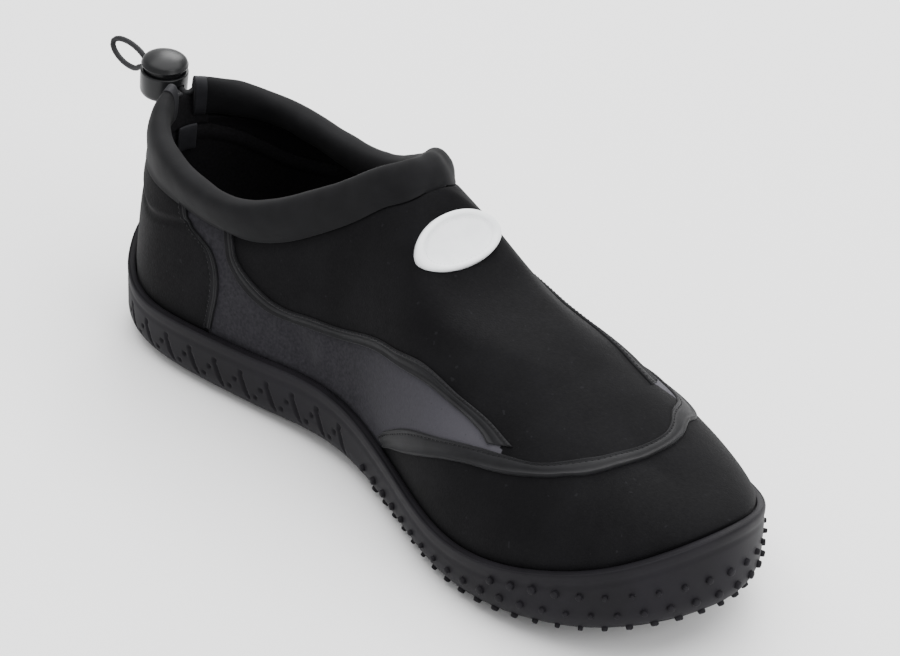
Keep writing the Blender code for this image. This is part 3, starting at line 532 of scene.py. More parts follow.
# cloud is the noise of the mottling: size, detail, roughness; each bump is a noise, strength and depth
finishes = {
    "liningKnit": {
        "color": (0.004, 0.004, 0.0045),
        "dark": (0.0035, 0.0033, 0.0038),
        "light": (0.0070, 0.0066, 0.0078),
        "roughness": 0.9,
        "specular": 0.15,
        "cloud": (1100.0, 2.0),
        "bumps": [((1100.0, 2.0), 0.3, 0.0003)],
    },
    "tapeSatin": wovenFinish((0.0055, 0.0055, 0.0063), (0.0092, 0.0092, 0.0105), 0.58),
    "collarKnit": wovenFinish((0.0034, 0.0034, 0.0040), (0.0058, 0.0058, 0.0067), 0.78, 1500.0),
    "bindingTape": wovenFinish((0.012, 0.012, 0.014), (0.021, 0.021, 0.024), 0.6),
    "threadBlack": wovenFinish((0.005, 0.005, 0.006), (0.009, 0.009, 0.010), 0.6),
    "soleRubber": {
        "dark": (0.0058, 0.0053, 0.0067),
        "light": (0.0100, 0.0092, 0.0116),
        "roughness": 0.6,
        "roughRange": (0.52, 0.74),
        "specular": 0.12,
        "cloud": (45.0, 4.0, 0.6),
        "bumps": [((1400.0, 2.0), 0.22, 0.00015), ((45.0, 4.0, 0.6), 0.2, 0.0006)],
    },
    "badgeRubber": {
        "color": (0.86, 0.88, 0.90),
        "dark": (0.84, 0.86, 0.88),
        "light": (0.91, 0.925, 0.94),
        "roughness": 0.42,
        "specular": 0.5,
        "cloud": (220.0, 3.0),
        "bumps": [((220.0, 3.0), 0.2, 0.0003)],
    },
    "lockPlastic": {
        "color": (0.007, 0.0075, 0.008),
        "dark": (0.0050, 0.0053, 0.0058),
        "light": (0.0085, 0.0088, 0.0095),
        "roughness": 0.3,
        "roughRange": (0.26, 0.42),
        "specular": 0.22,
        "cloud": (180.0, 3.0),
        "bumps": [((1200.0, 2.0), 0.12, 0.0001)],
    },
    "cordBraid": {
        "color": (0.008, 0.008, 0.009),
        "dark": (0.007, 0.007, 0.008),
        "light": (0.014, 0.014, 0.016),
        "roughness": 0.7,
        "specular": 0.3,
        "cloud": (1800.0, 1.0),
        "bumps": [((1800.0, 1.0), 0.5, 0.0002)],
    },
}


def mottledMaterial(name):
    finish = finishes[name]
    color, sheen = finish.get("color", finish["dark"]), finish.get("sheen", 0.0)
    made, nodes, links, shader = newMaterial(name, color, finish["roughness"], finish["specular"], sheen)
    spot = objectSpot(nodes)
    cloud = noiseFrom(nodes, links, spot, *finish["cloud"])
    lightFrom = finish.get("lightFrom", 0.7)
    mottling = rampBetween(nodes, links, cloud, 0.3, lightFrom, finish["dark"], finish["light"])
    links.new(mottling, shader.inputs["Base Color"])
    if "roughRange" in finish:
        low, high = finish["roughRange"]
        links.new(rangeBetween(nodes, links, cloud, low=low, high=high), shader.inputs["Roughness"])
    under = None
    for grain, strength, depth in finish["bumps"]:
        height = cloud if grain == finish["cloud"] else noiseFrom(nodes, links, spot, *grain)
        under = addBump(nodes, links, shader, height, strength, depth, under)
    return made


stretchKnit = knitMaterial()
liningKnit = mottledMaterial("liningKnit")
tapeSatin = mottledMaterial("tapeSatin")
collarKnit = mottledMaterial("collarKnit")
bindingTape = mottledMaterial("bindingTape")
threadBlack = mottledMaterial("threadBlack")
soleRubber = mottledMaterial("soleRubber")
badgeRubber = mottledMaterial("badgeRubber")
lockPlastic = mottledMaterial("lockPlastic")
cordBraid = mottledMaterial("cordBraid")
print("stage: materials made")


# upper

upperSizes = {
    "rearColumns": 210,
    "frontColumns": 130,
    "rows": 72,
    "hiddenFoot": 0.0060,  # how deep the wall's foot stands in the cup
    "hiddenShare": 0.05,  # share of the rows that it takes
    "seamDip": 0.0006,
    "seamWidth": 0.0022,
    "yokeStep": 0.0009,
    "yokeGroove": 0.0005,
    "uneven": 0.00022,
    "unevenSize": 0.045,
}
# lower edge of the band under the collar at the heel: section, share across from the rim line
yokeLine = [
    (0.0, 0.795), (1.0, 0.785), (1.95, 0.775), (2.30, 0.750), (2.53, 0.728), (2.77, 0.700), (3.2, 0.640),
]
# soft folds: section, place across (minus is the inner side), length, width, depth, turn in degrees
folds = [
    (4.42, -0.872, 0.0120, 0.0055, 0.0016, -30),
    (4.78, -0.875, 0.0042, 0.0085, -0.0012, -12),
    (4.10, -0.905, 0.0140, 0.0060, 0.0009, -18),
    (5.35, -0.865, 0.0150, 0.0070, 0.0006, -24),
    (1.60, -0.880, 0.0100, 0.0100, 0.0006, 10),
    (7.30, -0.30, 0.0200, 0.0100, 0.0005, 35),
    (6.30, 0.30, 0.0220, 0.0110, 0.0006, -35),
    (8.30, 0.05, 0.0080, 0.0200, 0.0004, 0),
    (4.40, 0.875, 0.0130, 0.0060, 0.0012, 28),
    (5.40, 0.870, 0.0150, 0.0070, 0.0008, 20),
]
# the tapes' edges: section and place across of one edge, then of the other
toeTapeLine = [
    (5.96, -0.98, 5.80, -0.97), (6.20, -0.89, 5.96, -0.87), (6.77, -0.725, 6.40, -0.70),
    (7.32, -0.615, 6.95, -0.59), (8.20, -0.505, 7.67, -0.49), (8.78, -0.41, 8.36, -0.417),
    (9.25, -0.27, 8.95, -0.28), (9.82, -0.12, 9.45, -0.12), (10.12, 0.02, 9.76, 0.01),
    (9.90, 0.14, 9.60, 0.12), (9.42, 0.28, 9.20, 0.25), (9.02, 0.42, 8.74, 0.38),
    (8.45, 0.52, 8.12, 0.47), (7.50, 0.61, 7.20, 0.57), (6.80, 0.70, 6.50, 0.67),
    (6.20, 0.86, 5.94, 0.84), (5.94, 0.98, 5.78, 0.97),
]
innerSideLine = [
    (3.22, -0.650, 3.36, -0.650), (3.34, -0.695, 3.46, -0.685), (3.46, -0.74, 3.56, -0.72),
    (3.72, -0.79, 3.80, -0.755), (4.12, -0.825, 4.16, -0.785), (4.50, -0.808, 4.50, -0.768),
    (5.09, -0.747, 5.06, -0.712), (5.86, -0.591, 5.83, -0.548), (6.46, -0.480, 6.39, -0.425),
    (7.00, -0.456, 7.02, -0.409), (7.39, -0.462, 7.52, -0.407), (7.57, -0.482, 7.93, -0.425),
]
outerSideLine = [
    (3.64, 0.615, 3.78, 0.610), (3.78, 0.650, 3.90, 0.640), (4.00, 0.675, 4.12, 0.650),
    (4.46, 0.690, 4.45, 0.655), (4.90, 0.660, 4.86, 0.625), (5.34, 0.612, 5.26, 0.574),
    (6.08, 0.505, 6.05, 0.458), (6.60, 0.438, 6.62, 0.386), (7.14, 0.408, 7.22, 0.345),
    (7.58, 0.400, 7.72, 0.325), (7.98, 0.405, 8.20, 0.320),
]
innerHeelLine = [
    (2.50, -0.680, 2.66, -0.680), (2.66, -0.710, 2.80, -0.708), (2.92, -0.728, 3.02, -0.720),
    (3.12, -0.745, 3.22, -0.738), (3.26, -0.790, 3.36, -0.785), (3.31, -0.850, 3.41, -0.850),
    (3.30, -0.925, 3.39, -0.925), (3.27, -0.985, 3.36, -0.985),
]
outerHeelLine = [
    (3.04, 0.635, 3.18, 0.630), (3.24, 0.655, 3.38, 0.650), (3.50, 0.665, 3.62, 0.660),
    (3.68, 0.690, 3.79, 0.685), (3.70, 0.740, 3.81, 0.740), (3.58, 0.810, 3.69, 0.815),
    (3.38, 0.890, 3.48, 0.895), (3.16, 0.980, 3.26, 0.985),
]


def loopColumns(rearCount, frontCount):
    parts = []
    for start, end, count in ((0.0, throat, rearCount), (throat, float(lastRow), frontCount)):
        fine = np.linspace(start, end, 900)
        foot = upperPoint(fine, 0.0)
        edge = upperPoint(fine, topShare(np.minimum(fine, end - 1e-6) if start == 0 else fine))
        run = runAlong(foot) + runAlong(edge)
        parts.append(np.interp(np.linspace(0, run[-1], count + 1), run, fine))
    inner = np.concatenate([parts[0], parts[1][1:]])
    return np.concatenate([inner, (loopRows - inner)[::-1][1:]])


upperColumns = loopColumns(upperSizes["rearColumns"], upperSizes["frontColumns"])
upperTops = topShare(upperColumns % loopRows)
upperTops[-1] = upperTops[0]


def columnAt(along):
    at = along * (len(upperColumns) - 1)
    steps = np.arange(len(upperColumns))
    return np.interp(at, steps, upperColumns), np.interp(at, steps, upperTops)


def foldDepth(points):
    total = 0
    for row, across, length, width, depth, turn in folds:
        u = row if across < 0 else loopRows - row
        v = 1 - abs(across)
        centre = upperPoint(u, v)
        forward = unit(upperPoint(u + 1e-3, v) - upperPoint(u - 1e-3, v)) * (1 if across < 0 else -1)
        upward = unit(upperPoint(u, v + 1e-3) - upperPoint(u, v - 1e-3))
        angle = math.radians(turn)
        offset = points - centre
        a = offset @ forward * math.cos(angle) + offset @ upward * math.sin(angle)
        b = -offset @ forward * math.sin(angle) + offset @ upward * math.cos(angle)
        total = total - depth * np.exp(-((a / length) ** 2) - (b / width) ** 2)
    return total


def upperSkin(u, v, top):
    # the outer face with its seams, steps and folds
    point = upperPoint(u, v)
    normal = upperNormal(u, v)
    edge = np.linalg.norm(point - upperPoint(u, top), axis=-1)
    foot = np.linalg.norm(point - upperPoint(u, 0.0), axis=-1)
    row = np.where(u > lastRow, loopRows - u, u)
    mouth = (row < throat).astype(float)
    lift = -upperSizes["seamDip"] * hill(edge, 0, upperSizes["seamWidth"]) * mouth
    above = openCurve(*np.array(yokeLine).T)(row) - (1 - v)
    step = smoothStep(above, -0.006, 0.010) * (1 - smoothStep(row, 2.5, 3.0))
    groove = hill(above, -0.010, 0.010) * (1 - smoothStep(row, 2.6, 3.1))
    lift += upperSizes["yokeStep"] * step - upperSizes["yokeGroove"] * groove
    lift += foldDepth(point) * smoothStep(foot, 0.0, 0.004)
    lift += upperSizes["uneven"] * ripple(point, upperSizes["unevenSize"], 3) * smoothStep(foot, 0.0, 0.01)
    return point + normal * lift[..., None]


def placeUpper(along, across):
    u, top = columnAt(along)
    hidden = upperSizes["hiddenShare"]
    v = top * np.clip((across - hidden) / (1 - hidden), 0, 1)
    point = upperSkin(u, v, top)
    point[:, 2] -= upperSizes["hiddenFoot"] * np.clip(1 - across / hidden, 0, 1)
    return point


def tapeMiddle(line):
    return [((a + c) / 2, (b + d) / 2) for a, b, c, d in line]


def panelOutline(heelLine, sideLine, toeRows):
    # the grey panel lies between the middles of its tapes and runs on under roll and sole
    heel, side, toe = tapeMiddle(heelLine), tapeMiddle(sideLine), tapeMiddle(toeRows)
    sign = 1 if heel[-1][1] > 0 else -1
    underRoll = [(heel[0][0] - 0.2, sign * 0.5), (side[0][0] - 0.1, sign * 0.5)]
    return [(heel[-1][0], sign * 1.2), *heel[::-1], *underRoll, *side, *toe, (toe[-1][0], sign * 1.2)]


def insideOutline(row, across, outline):
    hit = np.zeros(row.shape, bool)
    for (a, b), (c, d) in zip(outline, outline[1:] + outline[:1]):
        cross = (b > across) != (d > across)
        with np.errstate(divide="ignore", invalid="ignore"):
            edge = (c - a) * (across - b) / (d - b) + a
        hit ^= cross & (row < edge)
    return hit


innerPanel = panelOutline(innerHeelLine, innerSideLine, toeTapeLine[:5][::-1])
outerPanel = panelOutline(outerHeelLine, outerSideLine, toeTapeLine[-5:])


def panelAt(along, across):
    u, top = columnAt(along)
    hidden = upperSizes["hiddenShare"]
    v = top * np.clip((across - hidden) / (1 - hidden), 0, 1)
    row = np.where(u > lastRow, loopRows - u, u)
    place = np.where(u > lastRow, 1 - v, v - 1)
    return (insideOutline(row, place, innerPanel) | insideOutline(row, place, outerPanel)).astype(float)


def makeUpper():
    bm = mappedGrid(len(upperColumns) - 1, upperSizes["rows"], placeUpper, 1e-5, {"panel": panelAt})
    item = finishPiece("upperShell", bm, [stretchKnit, liningKnit], ["upper"])
    wall = item.modifiers.new("wall", "SOLIDIFY")
    wall.thickness = last["upperWall"]
    wall.offset = -1
    wall.material_offset = 1
    return item


upperShell = makeUpper()
vampTree = BVHTree.FromObject(upperShell, bpy.context.evaluated_depsgraph_get())


def layOn(points, lifts, reach):
    # points moved onto the upper and lifted off it, where it lies within reach
    laid, normals = [], []
    for point, lift in zip(points, lifts):
        spot, normal, _, gap = vampTree.find_nearest(Vector(point + heelPoint))
        normals.append(np.array(normal))
        if gap < reach:
            laid.append(np.array(spot) + np.array(normal) * lift - heelPoint)
        else:
            laid.append(point + np.array(normal) * lift)
    return np.array(laid), np.array(normals)


print("stage: upper made")


# sole

soleSizes = {
    "columns": 440,
    "rearFineness": 1.9,  # columns lie closer where the slots are
    "wallRows": 44,
    "treadRows": 36,
    "zone": 0.50,  # slots behind this share of the length, studs in front
    "tread": 0.0018,
    "rib": 0.0050,
    "lugPitch": 0.0116,
    "lugSlant": 0.0085,
    "lugSides": (0.0036, 0.0043),
    "slotPitch": 0.0118,
    "slotDepth": 0.0011,
    "slotWidth": 0.00085,
    "slotLean": 0.0042,
    "slotReach": (0.26, 0.66),  # shares of the rim's height
    "slotStart": (0.010, 0.022),
    "slotEnd": (0.135, 0.142),
    "slotDots": ((0.30, 0.66), (0.52, 0.50), (0.74, 0.34)),  # share of the pitch, share of the height
    "dotSides": (0.0005, 0.0010),
    "beadBelow": 0.0042,
    "mouldLine": 0.047,  # from the toe's tip, on the inner side
    "studPitch": 0.0077,
    "studRows": (0.0024, 0.0084, 0.0147),
    "topStudsFrom": 0.79,
    "studHeight": 0.0009,
    "studRadius": 0.00138,
    "studSunk": 0.0008,
}


def wallInset(height):
    turn = np.clip(1 - height / last["edgeRound"], 0, 1)
    return last["edgeRound"] * (1 - np.sqrt(1 - turn**2))


fineRows = np.linspace(0, lastRow, 1601)
sideRuns = {}
for sign, offset in ((-1, 0), (1, loopRows)):
    u = offset - sign * fineRows
    sideRuns[sign] = runAlong(np.stack([outlineX(u), outlineY(u), 0 * u], -1))
rearRows = outlineX(fineRows) < soleSizes["zone"] * last["length"]
soleSpread = np.gradient(sideRuns[-1]) * np.where(rearRows, soleSizes["rearFineness"], 1.0)
soleSpread = np.concatenate([[0], np.cumsum(soleSpread[1:])])
soleRows = np.interp(np.linspace(0, soleSpread[-1], soleSizes["columns"] + 1), soleSpread, fineRows)


def slotRelief(run, height, rise, x):
    # slanted slots and small dots, from the heel to the arch
    zone = smoothStep(x, *soleSizes["slotStart"]) * (1 - smoothStep(x, *soleSizes["slotEnd"]))
    pitch = soleSizes["slotPitch"]
    bottom, top = [share * rise for share in soleSizes["slotReach"]]
    lean = (height - bottom) / np.maximum(top - bottom, 1e-4)
    place = (run + lean * soleSizes["slotLean"]) / pitch
    off = (place - np.floor(place) - 0.5) * pitch
    wide = soleSizes["slotWidth"] * np.sqrt(np.clip(1.15 - np.abs(2 * lean - 1) ** 2, 0.02, 1))
    depth = 1 - smoothStep(np.abs(off), wide * 0.55, wide * 1.15)
    depth = depth * smoothStep(height, bottom - 0.001, bottom + 0.001)
    depth = depth * (1 - smoothStep(height, top - 0.0006, top + 0.0006))
    dots = 0
    for shift, level in soleSizes["slotDots"]:
        spot = (run / pitch + shift) - np.floor(run / pitch + shift) - 0.5
        away = np.hypot(spot * pitch, height - level * rise)
        dots = np.maximum(dots, 1 - smoothStep(away, *soleSizes["dotSides"]))
    return -soleSizes["slotDepth"] * zone * np.maximum(depth, 0.8 * dots)


def wallRing(side, share):
    # share 0 at the ground, 1 at the rim's edge
    u = soleRows if side < 0 else loopRows - soleRows
    rise = rimRise(u)
    height = share * rise
    run = np.interp(soleRows, fineRows, sideRuns[side])
    x0 = outlineX(u)
    inset = wallInset(height) - slotRelief(run, height, rise, x0)
    groove = 0.0007 * hill(height, rise - soleSizes["beadBelow"], 0.0010) * 0.4
    seam = 0.0004 * hill(np.abs(run - sideRuns[side][-1]), soleSizes["mouldLine"], 0.0004) * (side < 0)
    inset = inset + groove + seam
    inset = inset + 0.0006 * smoothStep(share, 0.96, 1.0) ** 2
    x, y = planPoint(u, inset)
    return np.stack([x, y, ground(x0) + height], -1)


def topRing(side, inset, height):
    u = soleRows if side < 0 else loopRows - soleRows
    x, y = planPoint(u, inset)
    base = floorHeight(x) if height is None else rimHeight(u) + height
    return np.stack([x, y, base], -1)


def treadHeight(x, across):
    # chevron lugs over a recess, with a plain rib round the edge
    pitch = soleSizes["lugPitch"]
    place = (x + soleSizes["lugSlant"] * np.clip(1 - np.abs(2 * across - 1), 0, 1)) / pitch
    off = np.abs(place - np.floor(place) - 0.5) * pitch
    lug = 1 - smoothStep(off, *soleSizes["lugSides"])
    notch = hill(across, 0.5, 0.012)
    return soleSizes["tread"] * (1 - lug * (1 - notch))


def rimRings(side):
    # from the middle of the rim's edge down to the cup's floor
    wall = last["rimWall"]
    return [topRing(side, wall - 0.0003, 0.0), topRing(side, wall, -0.0003), topRing(side, wall, None)]


def soleRings():
    # once round the sole: down the inner side, across the tread, up the outer side, back over the floor
    wall = np.linspace(1, 0, soleSizes["wallRows"]) ** 0.9
    foot = last["edgeRound"] * 0.9
    rib = foot + soleSizes["rib"]
    ends = []
    for side in (-1, 1):
        u = soleRows if side < 0 else loopRows - soleRows
        lines = []
        for inset, lift in ((foot, 0.0), (rib, 0.0), (rib + 0.0006, soleSizes["tread"])):
            x, y = planPoint(u, inset)
            lines.append(np.stack([x, y, ground(x) + lift], -1))
        ends.append(lines)
    rings = [topRing(-1, 0.0011, 0.0), topRing(-1, 0.0006, -0.0001)]
    rings += [wallRing(-1, share) for share in wall]
    rings += ends[0]
    wide = np.linalg.norm(ends[1][2] - ends[0][2], axis=-1) / last["ballWidth"]
    for k in range(1, soleSizes["treadRows"]):
        share = k / soleSizes["treadRows"]
        ring = ends[0][2] * (1 - share) + ends[1][2] * share
        relief = np.where(wide > 0.12, treadHeight(ring[:, 0], share), soleSizes["tread"])
        ring[:, 2] = ground(ring[:, 0]) + relief
        rings.append(ring)
    rings += ends[1][::-1]
    rings += [wallRing(1, share) for share in wall[::-1]]
    rings += [topRing(1, 0.0006, -0.0001), topRing(1, 0.0011, 0.0)]
    outer, inner = rimRings(1), rimRings(-1)[::-1]
    rings += outer
    rings += [outer[-1] * (1 - share) + inner[0] * share for share in (0.3, 0.7)]
    rings += inner
    rings.append(rings[0])
    return np.array(rings)


def makeStud(size, depth):
    stud = bmesh.new()
    bmesh.ops.create_cone(stud, cap_ends=True, segments=8, radius1=size, radius2=size * 0.80, depth=depth)
    top = [f for f in stud.faces if f.normal.z > 0.9]
    bmesh.ops.inset_region(stud, faces=top, thickness=size * 0.16, depth=0.00022)
    bmesh.ops.inset_region(stud, faces=top, thickness=size * 0.25, depth=0.00008)
    return stud


def makeStuds(bm):
    zone = soleSizes["zone"] + 0.02
    for level, height in enumerate(soleSizes["studRows"]):
        for side in (-1, 1):
            total = sideRuns[side][-1]
            shift = 0.5 if level % 2 else 0.0
            for k in range(60):
                run = total - (k + shift) * soleSizes["studPitch"]
                if (k + shift == 0 and side > 0) or run < 0:
                    continue
                row = float(np.interp(run, sideRuns[side], fineRows))
                u = row if side < 0 else loopRows - row
                x, rise = float(outlineX(u)), float(rimRise(u))
                limit = soleSizes["topStudsFrom"] if level == 2 else zone
                if x < limit * last["length"]:
                    continue
                size = soleSizes["studRadius"] * (0.9 + 0.2 * math.sin(7.0 * k + level))
                at = min(height, 0.72 * rise)
                points = []
                for du, dh in ((0, 0), (1e-2, 0), (0, 1e-4)):
                    px, py = planPoint(u + du, wallInset(at + dh))
                    points.append(np.array([float(px), float(py), float(ground(outlineX(u + du))) + at + dh]))
                forward, upward = unit(points[1] - points[0]), unit(points[2] - points[0])
                normal = unit(np.cross(forward, upward))
                upward = np.cross(normal, forward)
                axes = Matrix([[*line] for line in np.stack([forward, upward, normal], 1)]).to_4x4()
                sunk = soleSizes["studSunk"]
                centre = points[0] + normal * (soleSizes["studHeight"] - sunk) / 2 + heelPoint
                stud = makeStud(size, soleSizes["studHeight"] + sunk)
                stud.transform(Matrix.Translation(Vector(centre)) @ axes)
                joinInto(bm, stud)


def makeSole():
    rings = soleRings()
    columnCount, ringCount = rings.shape[1] - 1, rings.shape[0] - 1

    def place(along, across):
        a = np.rint(along * columnCount).astype(int)
        b = np.rint(across * ringCount).astype(int)
        return rings[b, a]

    bm = mappedGrid(columnCount, ringCount, place, 4e-6)
    outward(bm)
    makeStuds(bm)
    return finishPiece("cupSole", bm, [soleRubber], ["outsole"])


makeSole()
print("stage: sole made")


# insole

insoleSizes = {"inset": 0.0071, "thick": 0.0030, "dish": 0.0008, "dishEdge": (0.004, 0.03), "round": 0.002}


def placeInsole(along, across):
    row = along * lastRow
    inner = np.stack(planPoint(row, insoleSizes["inset"]), -1)
    outer = np.stack(planPoint(loopRows - row, insoleSizes["inset"]), -1)
    turn = across * 2
    top = turn < 1
    share = np.where(top, turn, 2 - turn)
    share = 0.5 - 0.5 * np.cos(math.pi * share)
    spot = inner * (1 - share[:, None]) + outer * share[:, None]
    width = np.linalg.norm(outer - inner, axis=-1)
    edge = np.minimum(share, 1 - share) * width
    rounding = np.sqrt(np.clip(1 - (1 - np.clip(edge / insoleSizes["round"], 0, 1)) ** 2, 0, 1))
    base = floorHeight(spot[:, 0]) + last["fitGap"]
    dish = insoleSizes["dish"] * smoothStep(edge, *insoleSizes["dishEdge"])
    high = insoleSizes["thick"] * (0.5 + 0.5 * rounding) - dish
    low = insoleSizes["thick"] * 0.5 * (1 - rounding)
    return np.stack([spot[:, 0], spot[:, 1], base + np.where(top, high, low)], -1)


insoleForm = outward(mappedGrid(120, 64, placeInsole, 4e-6))
insolePad = finishPiece("insolePad", insoleForm, [liningKnit], ["insole"])
print("stage: insole made")


# collar

collarSizes = {
    "height": 0.0195,
    "thickness": 0.0080,
    "trims": (0.0060, 0.0030),  # from the heel's middle to the inner and the outer end
    "upright": 0.25,
    "lift": 0.0008,
    "stations": 42,
    "along": 300,
    "sides": 48,
    "endRound": 0.0045,
    "endTaper": 0.0160,
    "lipLift": 0.0005,
    "lipReach": 0.004,
    "foldDepth": 0.0009,
    "wrinkles": ((0.00030, 0.020, 5), (0.00018, 0.008, 8)),  # depth, size, seed
    "endWrinkles": (0.0005, 0.010, 12),
    "endReach": 0.02,
    "frontRipples": 0.00025,
}
# share of the way from its end at the heel to the throat, height, thickness
collarRoll = [
    (0.00, 0.76, 0.88), (0.15, 0.61, 1.00), (0.27, 0.53, 1.10), (0.40, 0.59, 1.10), (0.55, 0.68, 1.08),
    (0.80, 0.65, 1.10), (1.00, 0.59, 1.20),
]
# how far the roll leans outward, from its inner end to its outer one
collarLean = [
    (0.00, 0.05), (0.10, 0.12), (0.16, 0.32), (0.23, 0.42), (0.30, 0.24), (0.40, 0.06), (0.50, 0.00),
    (1.00, 0.00),
]
# how far the roll's lower edge reaches down over the upper, along the whole collar
collarSkirt = [
    (0.00, 0.0030), (0.14, 0.0028), (0.24, 0.0008), (0.42, 0.0008), (0.50, 0.0018), (0.58, 0.0008),
    (0.76, 0.0008), (0.86, 0.0028), (1.00, 0.0030),
]
rollPlaces, rollHeights, rollThickness = np.array(collarRoll).T


def mouthEdge(count):
    # the upper's top edge, from the heel's middle round by the throat and back
    rear = throat * (1 - (1 - np.linspace(0, 1, count)) ** 2)
    u = np.concatenate([rear, (loopRows - rear)[::-1][1:]])
    return u, topShare(u)


def trimmed(points, others, trims, count):
    run = runAlong(points)
    keep = (run > trims[0]) & (run < run[-1] - trims[1])
    return resample(points[keep], [others[keep]], count)


def collarPath(count, trims):
    u, v = mouthEdge(200)
    out = upperNormal(u, v)
    middle = upperPoint(u, v) - out * last["upperWall"] / 2
    points, out = trimmed(middle, out, trims, collarSizes["stations"] * 4)
    for _ in range(10):
        points[1:-1] = (points[:-2] + 2 * points[1:-1] + points[2:]) / 4
        out[1:-1] = unit(out[:-2] + 2 * out[1:-1] + out[2:])
    points, out = resample(points, [out], count)
    for _ in range(12):
        points[1:-1] = (points[:-2] + 2 * points[1:-1] + points[2:]) / 4
    along = unit(np.gradient(points, axis=0))
    up = unit(np.cross(out, along))
    up = unit(up + np.array([0, 0, collarSizes["upright"]]))
    out = unit(np.cross(along, up))
    lean = openCurve(*np.array(collarLean).T)(np.linspace(0, 1, count))
    up = unit(up + out * lean[:, None])
    out = unit(np.cross(along, up))
    return points, along, up, out


collarLine = collarPath(collarSizes["along"] + 1, collarSizes["trims"])
collarLength = runAlong(collarLine[0])[-1]


def collarLip(lift):
    # the line on the upper's outer face where the roll's lower edge lies
    u, v = mouthEdge(400)
    edge = upperPoint(u, v)
    down = unit(upperPoint(u, v - 0.01) - edge)
    edge, down = trimmed(edge, down, collarSizes["trims"], collarSizes["along"] + 1)
    for _ in range(16):
        down[1:-1] = unit(down[:-2] + 2 * down[1:-1] + down[2:])
    drop = openCurve(*np.array(collarSkirt).T)(np.linspace(0, 1, len(edge)))
    return layOn(edge + down * drop[:, None], np.full(len(edge), lift), collarSizes["lipReach"])


lipLine = collarLip(collarSizes["lipLift"])[0]


def collarAt(along, angle, grow=0.0):
    # a point of the roll's skin; along is 0 at the inner end and 1 at the outer one
    at = along * collarSizes["along"]
    steps = np.arange(collarSizes["along"] + 1)
    points, tangent, up, out = [
        np.stack([np.interp(at, steps, part[:, k]) for k in range(3)], -1) for part in collarLine
    ]
    half = 1 - np.abs(2 * along - 1)
    height = openCurve(rollPlaces, rollHeights)(half) * collarSizes["height"] + grow
    thick = openCurve(rollPlaces, rollThickness)(half) * collarSizes["thickness"] + grow
    low = smoothStep(-np.sin(angle), 0.1, 0.9) * smoothStep(np.cos(angle), -0.1, 0.5)
    wide = np.sign(np.cos(angle)) * np.abs(np.cos(angle)) ** (0.8 - 0.25 * low)
    tall = np.sign(np.sin(angle)) * np.abs(np.sin(angle)) ** 0.8
    end = np.minimum(along, 1 - along) * collarLength
    thick = thick * (0.72 + 0.28 * smoothStep(end, 0.0, collarSizes["endTaper"]))
    centre = points + up * (collarSizes["lift"] + (height - grow) / 2)[:, None]
    return centre, tangent, up, out, height / 2 * tall, thick / 2 * wide, low


def placeCollar(along, across):
    span = collarSizes["endRound"] / collarLength
    inside = np.minimum(along, 1 - along)
    cap = np.clip(inside / span, 0, 1)
    rounded = np.sqrt(np.clip(1 - (1 - cap) ** 2, 0, 1)) * 0.25 + 0.75 * smoothStep(cap, 0, 0.05)
    shrink = np.where(cap < 1, rounded, 1.0)
    angle = across * 2 * math.pi
    centre, tangent, up, out, tall, wide, low = collarAt(along, angle)
    run = along * collarLength
    skin = centre + up * (tall * shrink)[:, None] + out * (wide * shrink)[:, None]
    steps = np.linspace(0, 1, len(lipLine))
    lip = np.stack([np.interp(along, steps, lipLine[:, k]) for k in range(3)], -1)
    pull = (low * smoothStep(inside * collarLength, 0.001, 0.006))[:, None]
    skin = skin * (1 - pull) + lip * pull
    normal = unit(up * tall[:, None] * 0.4 + out * wide[:, None])
    side = np.cos(angle)
    wrinkle = sum(depth * ripple(skin, size, seed) for depth, size, seed in collarSizes["wrinkles"])
    nearEnd = np.exp(-np.minimum(run, collarLength - run) / collarSizes["endReach"])
    depth, size, seed = collarSizes["endWrinkles"]
    wrinkle += depth * nearEnd * ripple(skin, size, seed)
    front = collarSizes["frontRipples"] * hill(along, 0.5, 0.10)
    wrinkle += front * np.sin(run * 520 + 3 * ripple(skin, 0.03, 4)) * np.clip(side, 0, 1)
    foldLine = -collarSizes["foldDepth"] * hill(np.sin(angle), -0.62, 0.12) * np.clip(side, 0, 1)
    return skin + normal * ((wrinkle + foldLine) * shrink * (1 - pull[:, 0]))[:, None]


rollForm = outward(mappedGrid(collarSizes["along"], collarSizes["sides"], placeCollar, 8e-6))
collarPiece = finishPiece("collarRoll", rollForm, [collarKnit], ["collar"])


bindingSizes = {"wide": 0.0042, "lift": 0.0005, "over": 0.0003}


def makeEndBinding(name, first):
    # woven binding round one end of the collar
    def place(along, across):
        loop = along * 5
        spot = np.clip((loop - 1) / 3, 0, 1)
        shrink = np.clip(np.minimum(loop, 5 - loop), 0, 1)
        shrink = np.where(loop < 1, 0.02 + 0.98 * shrink, np.where(loop > 4, 0.90 + 0.10 * shrink, 1.0))
        share = (spot * bindingSizes["wide"] - bindingSizes["over"]) / collarLength
        where = share if first else 1 - share
        held = np.clip(where, 0, 1)
        centre, tangent, up, out, tall, side, _ = collarAt(held, across * 2 * math.pi, bindingSizes["lift"])
        back = tangent * ((held - where) * collarLength)[:, None]
        return centre - back + up * (tall * shrink)[:, None] + out * (side * shrink)[:, None]

    bm = mappedGrid(20, collarSizes["sides"], place, 8e-6)
    return finishPiece(name, outward(bm), [bindingTape])


makeEndBinding("innerEndBinding", True)
makeEndBinding("outerEndBinding", False)


bridgeSizes = {
    "reach": 0.0100,
    "thick": 0.0016,
    "height": 0.0105,
    "below": 0.0030,
    "sag": 0.0012,
    "inset": 0.0006,
}


